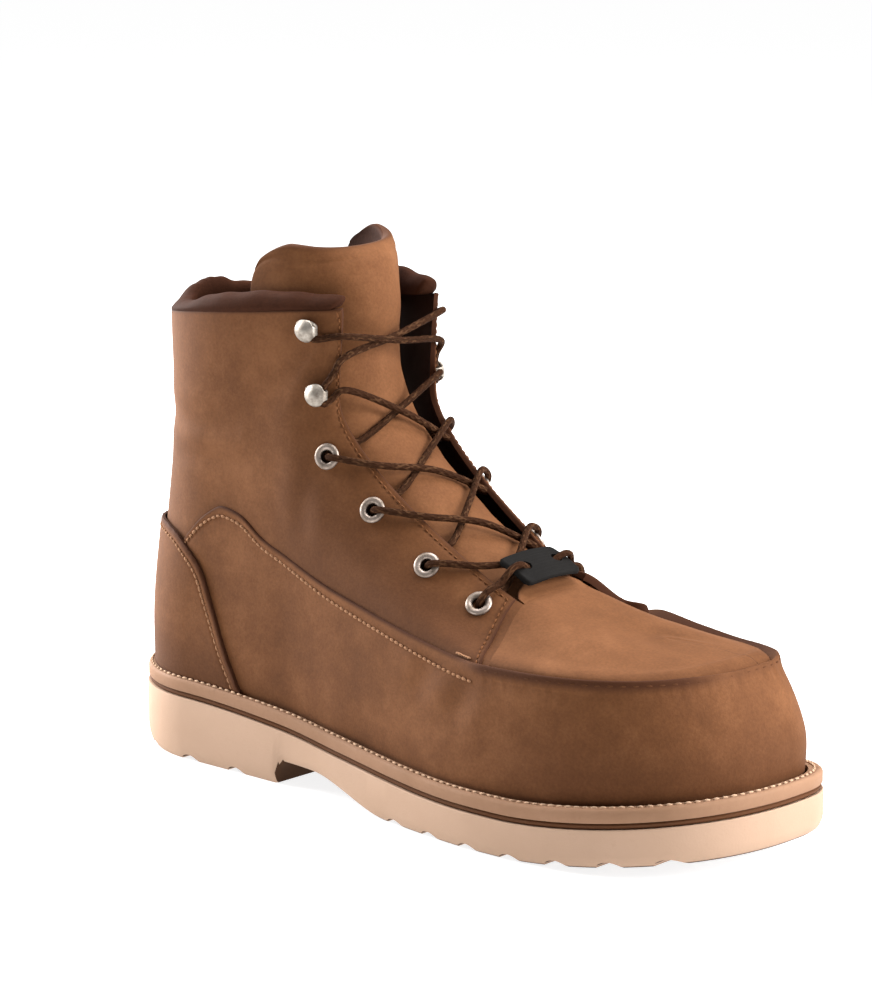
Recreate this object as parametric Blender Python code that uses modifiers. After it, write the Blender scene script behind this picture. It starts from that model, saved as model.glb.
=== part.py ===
"""A right-foot safety shoe: a lace-up work boot with a moc toe, as separate closed pieces.

The tables are in millimetres. X is counted from the back of the outsole to the toe, Y from the outer
(lateral, negative) to the inner (medial, positive) side, and Z up from the floor. Each finished mesh is
moved so that the origin lies on the floor under the middle of the shoe.

The upper and all that follows it come from one function, surface(q, level). q runs round the shoe:
0 is the back of the heel, -1 the toe along the lateral side, +1 the toe along the medial side. level
runs up the wall: 0 feather edge, 1 bulge, 2 vamp line, 3 ankle, 4 top edge, 5 ridge of the toe plug.
"""

import math
from collections import namedtuple

import bmesh
import bpy
import numpy as np
from mathutils import Matrix, Vector

NAME = "safety_shoe"
MM = 0.001
GAP = 0.3
LATERAL = -1
MEDIAL = 1

# Stations round one side of the shoe: the share of the way from the heel's back to the toe's tip.
Stations = namedtuple("Stations", "back heel ankle bend ball tip")
AT = Stations(back=0.0, heel=0.22, ankle=0.38, bend=0.48, ball=0.64, tip=1.0)

# A line round the shoe: x, lateral and medial half-width and height at each station, with the shift of
# the medial ball towards the toe, the side step of the toe's tip, the squareness of the toe, and how much
# higher than the lateral ball the medial one lies.
Spot = namedtuple("Spot", "x lateral medial z")
Line = namedtuple("Line", "back heel ankle bend ball tip skew tip_y power lift", defaults=(0.0,))
LIFT_END = 0.78

SOLE_LENGTH = 310.0
OUTLINE = Line(
    back=Spot(0, 0, 0, 0),
    heel=Spot(46, 42.5, 40.5, 0),
    ankle=Spot(100, 43.0, 37.5, 0),
    bend=Spot(137, 47.5, 39.5, 0),
    ball=Spot(212, 57, 57, 0),
    tip=Spot(SOLE_LENGTH, 0, 0, 0),
    skew=16,
    tip_y=13,
    power=2.35,
)

# How far the sole stands out beyond the upper's feather edge.
Ledge = namedtuple("Ledge", "back side ball tip")
LEDGE = Ledge(back=4.4, side=5.2, ball=6.0, tip=7.4)

BULGE = Line(
    back=Spot(5.5, 0, 0, 58),
    heel=Spot(46, 38.8, 37.5, 56),
    ankle=Spot(99, 39.8, 36.0, 50),
    bend=Spot(135, 44.0, 38.5, 45.5),
    ball=Spot(212, 52.5, 51.5, 43),
    tip=Spot(302.5, 0, 0, 46),
    skew=13,
    tip_y=13,
    power=2.4,
)
VAMP = Line(
    back=Spot(8.2, 0, 0, 95),
    heel=Spot(56, 37.2, 36.0, 104),
    ankle=Spot(94, 38.0, 36.5, 93),
    bend=Spot(129, 41.5, 38.5, 82),
    ball=Spot(212, 49.0, 41.5, 68.5),
    tip=Spot(290, 0, 0, 71.2),
    skew=8,
    tip_y=12,
    power=2.55,
    lift=3.6,
)
ANKLE = Line(
    back=Spot(14.2, 0, 0, 138),
    heel=Spot(57, 38.2, 37.0, 140),
    ankle=Spot(95, 37.2, 36.2, 143),
    bend=Spot(115, 37.2, 36.0, 119),
    ball=Spot(208, 38.0, 34.0, 74.4),
    tip=Spot(280.5, 0, 0, 74.0),
    skew=4,
    tip_y=11,
    power=2.5,
    lift=1.0,
)
TOP = Line(
    back=Spot(12.3, 0, 0, 176),
    heel=Spot(65, 39.8, 38.8, 183),
    ankle=Spot(121.5, 28.5, 28.5, 188),
    bend=Spot(120, 27.3, 27.3, 152),
    ball=Spot(205, 20.0, 19.0, 86.8),
    tip=Spot(266, 0, 0, 76.0),
    skew=0,
    tip_y=10,
    power=2.3,
)
RIDGE_RISE = 1.5
POLE = np.array((250.0, 8.0, 76.4))

# Wall of the upper at the vamp. The quarters lie lower than it, the plug lower again, and the moc seam
# stands up between them. The quarters end in a front edge beside the throat's foot.
WALL = 3.0
QUARTER_STEP = 0.9
PLUG_STEP = 1.6
QUARTER_FRONT = 0.63
SEAM_RISE = 1.5
SEAM_START = 0.6
INNER = -WALL

# Mesh of the upper: steps between the stations, and levels of the wall and of the plug.
UPPER_STEPS = (7, 6, 4, 7, 11)
WALL_LEVELS = (0, 0.5, 1, 1.5, 1.9, 2.0, 2.08, 2.5, 3, 3.5, 4)
PLUG_LEVELS = (4, 4.3, 4.65, 5)

# Heights of the sole: a middle line that the plates follow, and the floor line with arch and toe spring.
HEEL_HEIGHT = 27.0
FOREFOOT_HEIGHT = 15.6
SLOPE_FROM = 40.0
SLOPE_TO = 205.0
SPRING_FROM = 225.0
SPRING_RISE = 9.5
SPRING_POWER = 1.5
BREAST_X = 97.0
BREAST_LEAN = 4.0
ARCH_RISE = 9.5
ARCH_FROM = 118.0
ARCH_TO = 162.0
MIDSOLE = 1.8
MIDSOLE_INSET = 0.8
WELT = 5.3
WELT_ROUND = 1.2
WELT_INSET = 0.4
WELT_PLAY = 1.4
FOOT_BASE = MIDSOLE / 2 + GAP
INSOLE = 3.6
INSOLE_PLAY = 0.8

# Side of the outsole, from the floor up: how far in, and where between floor line and top.
Ring = namedtuple("Ring", "inset share")
OUTSOLE_SIDE = (
    Ring(2.6, 0.0),
    Ring(0.9, 0.12),
    Ring(0.0, 0.3),
    Ring(0.0, 0.94),
    Ring(0.4, 1.0),
)

# Cross channels of the tread: half-round, sunk in the floor line.
CHANNEL_RADIUS = 6.0
CHANNEL_DEPTH = 2.4
CHANNEL_REACH = 160.0
HEEL_CHANNELS = (22.0, 48.0, 74.0)
FOREFOOT_CHANNELS = (168.0, 188.0, 208.0, 228.0, 248.0, 268.0, 287.0)

# Top edge of the heel counter: level on the wall against distance from the heel's back.
CounterEdge = namedtuple("CounterEdge", "q level")
COUNTER_EDGE = (
    CounterEdge(0.0, 1.93),
    CounterEdge(0.1, 1.87),
    CounterEdge(0.16, 1.77),
    CounterEdge(0.2, 1.63),
    CounterEdge(0.23, 1.49),
    CounterEdge(0.26, 1.26),
    CounterEdge(0.28, 1.04),
    CounterEdge(0.3, 0.55),
    CounterEdge(0.311, 0.26),
)
COUNTER_FOOT = 0.22
COUNTER_THICK = 1.3

# Padded cuff: section points across (out from the wall) and up, and its height and forward lean along the
# edge. It stands highest at the heel's back and dips on both sides of it.
Pad = namedtuple("Pad", "out up")
CUFF_SECTION = (
    Pad(-1.2, 0.0),
    Pad(-0.6, 0.3),
    Pad(-1.4, 0.62),
    Pad(-3.2, 0.88),
    Pad(-5.6, 1.0),
    Pad(-8.0, 0.88),
    Pad(-9.2, 0.5),
    Pad(-8.8, 0.0),
)
CuffRow = namedtuple("CuffRow", "q height lean")
CUFF_ROWS = (
    CuffRow(0.0, 11.2, 3.0),
    CuffRow(0.04, 10.2, 2.6),
    CuffRow(0.09, 6.2, 1.0),
    CuffRow(0.14, 6.4, 0.0),
    CuffRow(0.22, 7.8, 0.0),
    CuffRow(0.29, 7.2, 0.0),
    CuffRow(0.353, 3.5, 0.0),
)
CUFF_TAPER = 0.29
CUFF_LIFT = 1.2

# Tongue: each row is half an ellipse, from its front down and back to its two wings.
TongueRow = namedtuple("TongueRow", "front_x front_z wing_x wing_y wing_z")
TONGUE = (
    TongueRow(224, 78.5, 220, 17, 74),
    TongueRow(204, 86.0, 197, 21, 76),
    TongueRow(186, 95.5, 177, 24, 82),
    TongueRow(163, 110.0, 149, 26, 95),
    TongueRow(138, 131.0, 121, 28, 114),
    TongueRow(122, 152.0, 98, 28, 141),
    TongueRow(120, 172.0, 82, 28, 168),
    TongueRow(120, 190.0, 75, 28, 188),
    TongueRow(116, 204.0, 77, 28, 203),
    TongueRow(110, 210.0, 85, 27, 212),
)
TONGUE_THICK = 4.0

# Lace holes from the top down, as places on the wall.
Hole = namedtuple("Hole", "q level")
HOOKS = (Hole(0.322, 3.84), Hole(0.425, 3.46))
EYELETS = (Hole(0.488, 3.45), Hole(0.534, 3.48), Hole(0.572, 3.44), Hole(0.608, 3.49))
EYELET_FLANGE = 5.2
EYELET_BARREL = 2.9
EYELET_BORE = 2.2
EYELET_SEAT = 0.6
EYELET_RISE = 1.0
EYELET_CHAMFER = 1.4
EYELET_DEPTH = 1.6
EYELET_SIDES = 14
HOLE_DEPTH = 12.0

# Speed hook: a strip from its foot, round the bend, back to the lip; t towards the throat, n outwards.
HookRow = namedtuple("HookRow", "t n half")
HOOK_STRIP = (
    HookRow(-4.6, 1.4, 2.2),
    HookRow(-2.5, 1.4, 3.8),
    HookRow(2.0, 1.5, 3.8),
    HookRow(4.2, 2.6, 3.4),
    HookRow(4.6, 4.4, 3.2),
    HookRow(3.4, 6.1, 3.6),
    HookRow(0.5, 6.9, 4.4),
    HookRow(-3.0, 6.7, 4.6),
    HookRow(-5.4, 5.9, 3.6),
    HookRow(-6.6, 5.0, 1.6),
)
HOOK_THICK = 1.0

# Lace: how high its crossings stand over the throat, how far from the edge a strand comes out, how far
# from a hole it stops, and how far its start lies above its own row.
LACE_RADIUS = 1.8
LACE_POINTS = 8
LACE_RISE = 4.0
LACE_FROM_EDGE = 3.4
LACE_STOP = 6.6
LACE_ROW_SHIFT = 0.012

# How far the middle of the lowest bar stands off the line between its eyelets, forwards and up.
BAR_STAND = np.array((1.0, 0.0, 2.25))

# Tab over the lowest bar: its share of the bar, length along the shoe, and slope.
KEEPER_REACH = 0.7
KEEPER_LENGTH = 17.0
KEEPER_THICK = 1.8
KEEPER_SLOPE = 24.0

Paint = namedtuple("Paint", "rgb rough metal")
PAINTS = {
    "leather": Paint((0.27, 0.135, 0.065), 0.85, 0.0),
    "collar_leather": Paint((0.075, 0.032, 0.024), 0.75, 0.0),
    "cream_rubber": Paint((0.72, 0.54, 0.36), 0.6, 0.0),
    "midsole_brown": Paint((0.07, 0.028, 0.01), 0.6, 0.0),
    "welt_tan": Paint((0.5, 0.3, 0.18), 0.7, 0.0),
    "insole_board": Paint((0.16, 0.1, 0.06), 0.9, 0.0),
    "nickel": Paint((0.55, 0.5, 0.45), 0.35, 1.0),
    "lace_brown": Paint((0.06, 0.028, 0.012), 0.8, 0.0),
    "keeper_grey": Paint((0.045, 0.045, 0.048), 0.6, 0.0),
}


# Curves


def smooth(start, end, x):
    """A smooth step from 0 at start to 1 at end."""
    t = min(max((x - start) / (end - start), 0.0), 1.0)
    return t * t * (3 - 2 * t)


def hermite(stops, values, slopes, p):
    """A cubic through the values at the stops, with the given slopes."""
    i = min(max(int(np.searchsorted(stops, p, side="right")) - 1, 0), len(stops) - 2)
    width = stops[i + 1] - stops[i]
    t = (p - stops[i]) / width
    rest = 1 - t
    near = (1 + 2 * t) * rest * rest * values[i] + t * rest * rest * width * slopes[i]
    far = t * t * (3 - 2 * t) * values[i + 1] - t * t * rest * width * slopes[i + 1]
    return near + far


def middle_slopes(stops, values, first, last):
    """Slopes at the stops: the given ones at the ends, and between them ones that never overshoot."""
    rises = [(b - a) / (v - u) for a, b, u, v in zip(values, values[1:], stops, stops[1:])]
    inner = [2 * a * b / (a + b) if a * b > 0 else 0.0 for a, b in zip(rises, rises[1:])]
    return [first, *inner, last]


def spline(points, t):
    """A centripetal spline through points[1:-1]; the first and last only set the end directions."""
    i = min(max(int(t), 0), len(points) - 4)
    f = t - i
    p0, p1, p2, p3 = (points[i + k] for k in range(4))
    d0, d1, d2 = (max(math.sqrt(np.linalg.norm(b - a)), 1e-6) for a, b in ((p0, p1), (p1, p2), (p2, p3)))
    m1 = ((p1 - p0) / d0 - (p2 - p0) / (d0 + d1) + (p2 - p1) / d1) * d1
    m2 = ((p2 - p1) / d1 - (p3 - p1) / (d1 + d2) + (p3 - p2) / d2) * d1
    return (
        (2 * f**3 - 3 * f**2 + 1) * p1
        + (f**3 - 2 * f**2 + f) * m1
        + (3 * f**2 - 2 * f**3) * p2
        + (f**3 - f**2) * m2
    )


def through(points, t):
    """A spline through all the points, straight on at both ends."""
    ends = [2 * points[0] - points[1], *points, 2 * points[-1] - points[-2]]
    return spline(ends, t)


# Lines round the shoe


def half_width(spot, side):
    return spot.lateral if side == LATERAL else spot.medial


def line_point(line, q):
    """The point of a line round the shoe at q: heel arc, side, and rounded toe."""
    side = LATERAL if q < 0 else MEDIAL
    p = abs(q)
    quarter = math.pi / 2
    heel, ball, tip = line.heel, line.ball, line.tip
    ball_x = ball.x + (line.skew if side == MEDIAL else 0.0)
    heel_speed = (heel.x - line.back.x) * quarter / AT.heel
    toe_speed = (tip.x - ball_x) * quarter / (AT.tip - AT.ball)
    if p <= AT.heel:
        turn = p / AT.heel * quarter
        x = heel.x - (heel.x - line.back.x) * math.cos(turn)
        y = side * half_width(heel, side) * math.sin(turn)
    elif p >= AT.ball:
        turn = (p - AT.ball) / (AT.tip - AT.ball) * quarter
        c, s = max(math.cos(turn), 0.0), math.sin(turn)
        reach = (c**line.power + s**line.power) ** (-1 / line.power)
        x = ball_x + (tip.x - ball_x) * s * reach
        y = line.tip_y + (side * half_width(ball, side) - line.tip_y) * c * reach
    else:
        stops = (AT.heel, AT.ankle, AT.bend, AT.ball)
        spots = (heel, line.ankle, line.bend, ball)
        xs = [heel.x, line.ankle.x, line.bend.x + (ball_x - ball.x) * 0.4, ball_x]
        ws = [half_width(spot, side) for spot in spots]
        x = hermite(stops, xs, middle_slopes(stops, xs, heel_speed, toe_speed), p)
        y = side * hermite(stops, ws, middle_slopes(stops, ws, 0.0, 0.0), p)
    stops = tuple(AT)
    zs = [spot.z for spot in line[:6]]
    z = hermite(stops, zs, middle_slopes(stops, zs, 0.0, 0.0), p)
    if side == MEDIAL:
        z += line.lift * smooth(AT.bend, AT.ball, p) * (1 - smooth(AT.ball, LIFT_END, p))
    return np.array((x, y, z))


def spring(x):
    """Rise of the toe."""
    return SPRING_RISE * max(0.0, (x - SPRING_FROM) / (SOLE_LENGTH - SPRING_FROM)) ** SPRING_POWER


def seat(x):
    """Height of the midsole's middle line."""
    fall = (HEEL_HEIGHT - FOREFOOT_HEIGHT) * smooth(SLOPE_FROM, SLOPE_TO, x)
    return HEEL_HEIGHT - fall + spring(x)


def floor_line(x):
    """Height of the outsole's underside: flat heel, arch behind the forefoot, toe spring."""
    breast = smooth(BREAST_X, BREAST_X + BREAST_LEAN, x)
    arch = ARCH_RISE * breast * (1 - smooth(ARCH_FROM, ARCH_TO, x))
    return arch + spring(x)


def ledge_at(p):
    """Width of the ledge that the sole leaves round the upper."""
    stops = (AT.back, AT.heel, AT.bend, AT.ball, AT.tip)
    values = (LEDGE.back, LEDGE.back, LEDGE.side, LEDGE.ball, LEDGE.tip)
    return hermite(stops, values, middle_slopes(stops, values, 0.0, 0.0), p)


def outline(q, inset=0.0):
    """The sole's outline seen from above, moved in by inset along its normal."""
    here = line_point(OUTLINE, q)
    if inset == 0:
        return here
    step = 1e-3
    along = line_point(OUTLINE, wrapped(q + step)) - line_point(OUTLINE, wrapped(q - step))
    inward = np.array((along[1], -along[0], 0.0))
    return here + inward / np.linalg.norm(inward) * inset


def wrapped(q):
    """q brought back to -1..1, past the toe's tip."""
    return q - 2 if q > 1 else q + 2 if q < -1 else q


def feather(q):
    """The line where the upper meets the sole."""
    point = outline(q, ledge_at(abs(q)))
    point[2] = seat(point[0]) + FOOT_BASE
    return point


# The surface of the upper


def ridge(p):
    """Middle line of the plug, from the throat to a pole behind the toe's tip."""
    base = (line_point(TOP, -AT.ball) + line_point(TOP, AT.ball)) / 2 + np.array((0, 0, RIDGE_RISE))
    turn = (p - AT.ball) / (AT.tip - AT.ball) * math.pi / 2
    return base + (POLE - base) * math.sin(turn)


def surface(q, level):
    """The outer side of the last, the base of upper, counter, cuff and lace holes."""
    p = abs(q)
    lines = [feather(q), *(line_point(line, q) for line in (BULGE, VAMP, ANKLE, TOP))]
    foot = 2 * lines[0] - lines[1]
    if p >= AT.ball:
        points = [foot, *lines, ridge(p), line_point(TOP, -q)]
    else:
        straight = 2 * lines[4] - lines[3]
        across = (lines[4] + line_point(TOP, -q)) / 2 + np.array((0, 0, RIDGE_RISE))
        share = smooth(AT.ankle, AT.ball, p)
        points = [foot, *lines, straight + (across - straight) * share]
    return spline(points, level)


def normal(q, level):
    """Unit normal of the surface, outwards."""
    step = 0.015
    high = 4.9 if abs(q) >= AT.ball else 4.0
    level = min(level, high)
    up = surface(q, min(level + step, high)) - surface(q, max(level - step, 0.0))
    along = surface(wrapped(q + step), level) - surface(wrapped(q - step), level)
    across = np.cross(up, along)
    return across / np.linalg.norm(across)


def raised(q, level, out):
    """A point out from the surface along its normal."""
    return surface(q, level) + normal(q, level) * out


def relief(p, level):
    """Rise of the upper over the surface: quarters and plug lie lower than the vamp, the seam higher."""
    if level == 2.0:
        return SEAM_RISE * smooth(SEAM_START, AT.ball, p)
    if level < 2.0:
        return 0.0
    return -PLUG_STEP if p > QUARTER_FRONT else -QUARTER_STEP


# Meshes


def paint(name):
    """The material of that name, made once."""
    found = bpy.data.materials.get(name)
    if found:
        return found
    look = PAINTS[name]
    material = bpy.data.materials.new(name)
    material.use_nodes = True
    shader = material.node_tree.nodes["Principled BSDF"]
    shader.inputs["Base Color"].default_value = (*look.rgb, 1.0)
    shader.inputs["Roughness"].default_value = look.rough
    shader.inputs["Metallic"].default_value = look.metal
    return material


def placed(point):
    """A point of the tables in metres from the shoe's origin."""
    return Vector(((point[0] - SOLE_LENGTH / 2) * MM, point[1] * MM, point[2] * MM))


def collection(name, hidden=False):
    """The collection of that name, made once."""
    found = bpy.data.collections.get(name)
    if not found:
        found = bpy.data.collections.new(name)
        found.hide_render = hidden
        bpy.context.scene.collection.children.link(found)
    return found


def add_object(name, shape, material, cutter=False):
    """A new object for a bmesh or for mesh or curve data."""
    if isinstance(shape, bmesh.types.BMesh):
        data = bpy.data.meshes.new(name)
        shape.to_mesh(data)
        shape.free()
        data.shade_smooth()
        data.set_sharp_from_angle(angle=math.radians(40))
    else:
        data = shape
    made = bpy.data.objects.new(name, data)
    if cutter:
        collection(f"{NAME}_cutters", hidden=True).objects.link(made)
        made.hide_render = True
        made.display_type = "WIRE"
    else:
        data.materials.append(paint(material))
        collection(NAME).objects.link(made)
    return made


def solidify(made, thickness, side=-1.0):
    """Gives an open surface a wall on its inner side, or on its outer one."""
    wall = made.modifiers.new("wall", "SOLIDIFY")
    wall.thickness = thickness * MM
    wall.offset = side
    wall.use_quality_normals = True
    return wall


def grid_faces(mesh, rows):
    """Faces between rows of points, all rows of one length. Returns the vertices, row by row."""
    verts = [[mesh.verts.new(placed(point)) for point in row] for row in rows]
    for low, high in zip(verts, verts[1:]):
        for i in range(len(low) - 1):
            mesh.faces.new((low[i], high[i], high[i + 1], low[i + 1]))
    return verts


def loft(rings, looped=False):
    """A closed solid through rings of points, capped at both ends or joined end to start."""
    mesh = bmesh.new()
    verts = [[mesh.verts.new(placed(point)) for point in ring] for ring in rings]
    pairs = list(zip(verts, verts[1:]))
    if looped:
        pairs.append((verts[-1], verts[0]))
    else:
        mesh.faces.new(verts[0])
        mesh.faces.new(verts[-1])
    for a, b in pairs:
        for i in range(len(a)):
            k = (i + 1) % len(a)
            mesh.faces.new((a[i], a[k], b[k], b[i]))
    bmesh.ops.recalc_face_normals(mesh, faces=mesh.faces)
    return mesh


def plate(stops, layers):
    """A closed solid between layers, each a function of q; strips across close top and bottom."""
    mesh = bmesh.new()
    walls = []
    for layer in layers:
        lateral = [mesh.verts.new(placed(layer(-p))) for p in stops]
        inner = [mesh.verts.new(placed(layer(p))) for p in stops[1:-1]]
        walls.append((lateral, [lateral[0], *inner, lateral[-1]]))
    for low, high in zip(walls, walls[1:]):
        for a, b in zip(low, high):
            for i in range(len(stops) - 1):
                mesh.faces.new((a[i], a[i + 1], b[i + 1], b[i]))
    for a, b in (walls[0], walls[-1]):
        for i in range(len(stops) - 1):
            corners = dict.fromkeys((a[i], a[i + 1], b[i + 1], b[i]))
            mesh.faces.new(corners)
    bmesh.ops.recalc_face_normals(mesh, faces=mesh.faces)
    return mesh


def side_stops(heel, ankle, bend, ball, toe):
    """Stations along one side, with so many steps in each stretch."""
    steps = (heel, ankle, bend, ball, toe)
    parts = [np.linspace(a, b, n, endpoint=False) for a, b, n in zip(AT, AT[1:], steps)]
    return [float(p) for part in parts for p in part] + [AT.tip]


# Sole


def stop_at(x):
    """The station where the outline reaches x, behind the bend of the foot."""
    low, high = AT.heel, AT.bend
    for _ in range(40):
        half = (low + high) / 2
        low, high = (half, high) if line_point(OUTLINE, -half)[0] < x else (low, half)
    return low


def build_outsole():
    """Cream sole: heel block, breast, arch, toe spring, stepped side and cross channels."""
    stops = sorted({*side_stops(7, 5, 4, 6, 12), stop_at(BREAST_X), stop_at(BREAST_X + BREAST_LEAN)})

    def layer(ring):
        def point(q):
            at = outline(q, ring.inset)
            bottom = floor_line(at[0])
            top = seat(at[0]) - MIDSOLE / 2 - GAP
            at[2] = bottom + (top - bottom) * ring.share
            return at

        return point

    made = add_object("outsole", plate(stops, [layer(ring) for ring in OUTSOLE_SIDE]), "cream_rubber")
    for x in (*HEEL_CHANNELS, *FOREFOOT_CHANNELS):
        cut_channel(made, x)


def cut_channel(made, x):
    """One half-round channel across the sole."""
    mesh = bmesh.new()
    bmesh.ops.create_cone(
        mesh,
        cap_ends=True,
        segments=12,
        radius1=CHANNEL_RADIUS * MM,
        radius2=CHANNEL_RADIUS * MM,
        depth=CHANNEL_REACH * MM,
        matrix=Matrix.Rotation(math.pi / 2, 4, "X"),
    )
    cutter = add_object(f"channel_{x:.0f}", mesh, None, cutter=True)
    cutter.location = placed((x, 0, floor_line(x) + CHANNEL_DEPTH - CHANNEL_RADIUS))
    cut = made.modifiers.new("channel", "BOOLEAN")
    cut.operation = "DIFFERENCE"
    cut.object = cutter


def build_plates():
    """Midsole and insole: plates that follow the sole's middle line."""
    stops = side_stops(6, 4, 3, 5, 10)

    def midsole(height):
        def point(q):
            at = outline(q, MIDSOLE_INSET)
            at[2] = seat(at[0]) + height
            return at

        return point

    half = MIDSOLE / 2
    add_object("midsole", plate(stops, [midsole(-half), midsole(half)]), "midsole_brown")

    def insole(height):
        def point(q):
            at = outline(q, ledge_at(abs(q)) + INSOLE_PLAY - INNER)
            at[2] = seat(at[0]) + FOOT_BASE + height
            return at

        return point

    add_object("insole", plate(stops, [insole(0.0), insole(INSOLE)]), "insole_board")


def build_welt():
    """Tan strip on the midsole, round the foot of the upper."""
    stops = side_stops(6, 4, 3, 5, 11)
    rings = []
    for q in [-p for p in reversed(stops)] + stops[1:-1]:
        ledge = ledge_at(abs(q))
        section = (
            (WELT_INSET, 0.0),
            (WELT_INSET, WELT - WELT_ROUND),
            (WELT_INSET + WELT_ROUND, WELT),
            (ledge - WELT_PLAY, WELT),
            (ledge - WELT_PLAY, 0.0),
        )
        ring = []
        for inset, height in section:
            at = outline(q, inset)
            at[2] = seat(at[0]) + FOOT_BASE + height
            ring.append(at)
        rings.append(ring)
    add_object("welt", loft(rings, looped=True), "welt_tan")


# Upper


def build_upper():
    """One hollow wall, open at the collar, down the throat and underneath.

    The inner side is smooth, and a vertex group makes the wall thicker at the vamp and the moc seam.
    """
    mesh = bmesh.new()
    stops = sorted({*side_stops(*UPPER_STEPS), QUARTER_FRONT})

    def point(q, level):
        if level < 5:
            return raised(q, level, INNER)
        return (raised(q, level, INNER) + raised(-q, level, INNER)) / 2

    def rows(qs, levels):
        grid = [[point(q, level) for level in levels] for q in qs]
        depth = [[relief(abs(q), level) - INNER for level in levels] for q in qs]
        for verts, values in zip(grid_faces(mesh, grid), depth):
            for vert, value in zip(verts, values):
                vert[thick][0] = value / full

    thick = mesh.verts.layers.deform.new("wall")
    full = SEAM_RISE - INNER
    rows([-p for p in reversed(stops)] + stops[1:], WALL_LEVELS)
    toe = [p for p in stops if p >= AT.ball]
    rows([-p for p in reversed(toe)], PLUG_LEVELS)
    rows(toe, PLUG_LEVELS)
    bmesh.ops.remove_doubles(mesh, verts=mesh.verts, dist=0.02 * MM)
    bmesh.ops.reverse_faces(mesh, faces=mesh.faces)
    made = add_object("upper", mesh, "leather")
    made.vertex_groups.new(name="wall")
    wall = solidify(made, full, side=1.0)
    wall.vertex_group = "wall"
    return made


def build_counter():
    """Leather panel round the heel, over the upper."""
    edge = COUNTER_EDGE
    qs = [row.q for row in edge]
    levels = [row.level for row in edge]
    reach = [float(p) for p in np.linspace(0, edge[-1].q, 13)]
    mesh = bmesh.new()
    rows = []
    for q in [-p for p in reversed(reach)] + reach[1:]:
        top = float(np.interp(abs(q), qs, levels))
        foot = min(COUNTER_FOOT, top - 0.02)
        rows.append([raised(q, level, GAP + COUNTER_THICK) for level in np.linspace(foot, top, 7)])
    grid_faces(mesh, rows)
    bmesh.ops.reverse_faces(mesh, faces=mesh.faces)
    solidify(add_object("heel_counter", mesh, "leather"), COUNTER_THICK)


def build_collar():
    """Padded cuff on the top edge, from one front corner round the back to the other."""
    rings = []
    places, heights, leans = zip(*CUFF_ROWS)
    end = places[-1]
    rises = middle_slopes(places, heights, 0.0, 0.0)
    shifts = middle_slopes(places, leans, 0.0, 0.0)
    stops = [p for p in side_stops(*UPPER_STEPS) if p < end] + [end]
    for q in [-p for p in reversed(stops)] + stops[1:]:
        edge = surface(q, 4.0)
        out = normal(q, 4.0)
        up = edge - surface(q, 3.95)
        up /= np.linalg.norm(up)
        height = hermite(places, heights, rises, abs(q))
        lean = hermite(places, leans, shifts, abs(q))
        lift = CUFF_LIFT * smooth(CUFF_TAPER, end, abs(q))
        ring = [
            edge + out * (pad.out - lean * pad.up) + up * (GAP + lift + height * pad.up)
            for pad in CUFF_SECTION
        ]
        rings.append(ring)
    add_object("collar", loft(rings), "collar_leather")


def tongue_point(row, turn):
    """A point of one tongue row, turn -90 to 90 degrees from the lateral to the medial wing."""
    front_x, front_z, wing_x, wing_y, wing_z = row
    c, s = math.cos(turn), math.sin(turn)
    return np.array((wing_x + (front_x - wing_x) * c, wing_y * s, wing_z + (front_z - wing_z) * c))


def build_tongue():
    """Padded tongue under the throat, wrapped inside the collar at the top."""
    rows = [np.array(row, dtype=float) for row in TONGUE]
    turns = np.radians(np.linspace(-90, 90, 15))
    mesh = bmesh.new()
    lengths = np.linspace(0, len(rows) - 1, 19)
    grid_faces(mesh, [[tongue_point(through(rows, t), turn) for turn in turns] for t in lengths])
    bmesh.ops.reverse_faces(mesh, faces=mesh.faces)
    solidify(add_object("tongue", mesh, "leather"), TONGUE_THICK)


# Fastening


def frame_at(q, level):
    """Place and axes on the wall: out along the normal, and towards the throat."""
    out = normal(q, level)
    towards = surface(q, min(level + 0.05, 4.0)) - surface(q, level - 0.05)
    towards -= out * np.dot(out, towards)
    towards /= np.linalg.norm(towards)
    place = raised(q, level, relief(abs(q), level))
    return place, out, towards


def matrix_at(q, level):
    """World matrix with Z out of the wall and X towards the throat."""
    place, out, towards = frame_at(q, level)
    aside = np.cross(out, towards)
    turn = Matrix((towards, aside, out)).transposed()
    return Matrix.Translation(placed(place)) @ turn.to_4x4()


def eyelet_shape():
    """Profile of a turned eyelet; a Screw modifier turns it round Z."""
    outside = EYELET_SEAT + EYELET_RISE
    profile = (
        (EYELET_BORE, outside),
        (EYELET_FLANGE - EYELET_CHAMFER, outside),
        (EYELET_FLANGE, EYELET_SEAT),
        (EYELET_BARREL, EYELET_SEAT),
        (EYELET_BARREL, -EYELET_DEPTH),
        (EYELET_BORE, -EYELET_DEPTH),
    )
    mesh = bmesh.new()
    verts = [mesh.verts.new((r * MM, 0, z * MM)) for r, z in profile]
    for a, b in zip(verts, [*verts[1:], verts[0]]):
        mesh.edges.new((a, b))
    return mesh


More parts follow.
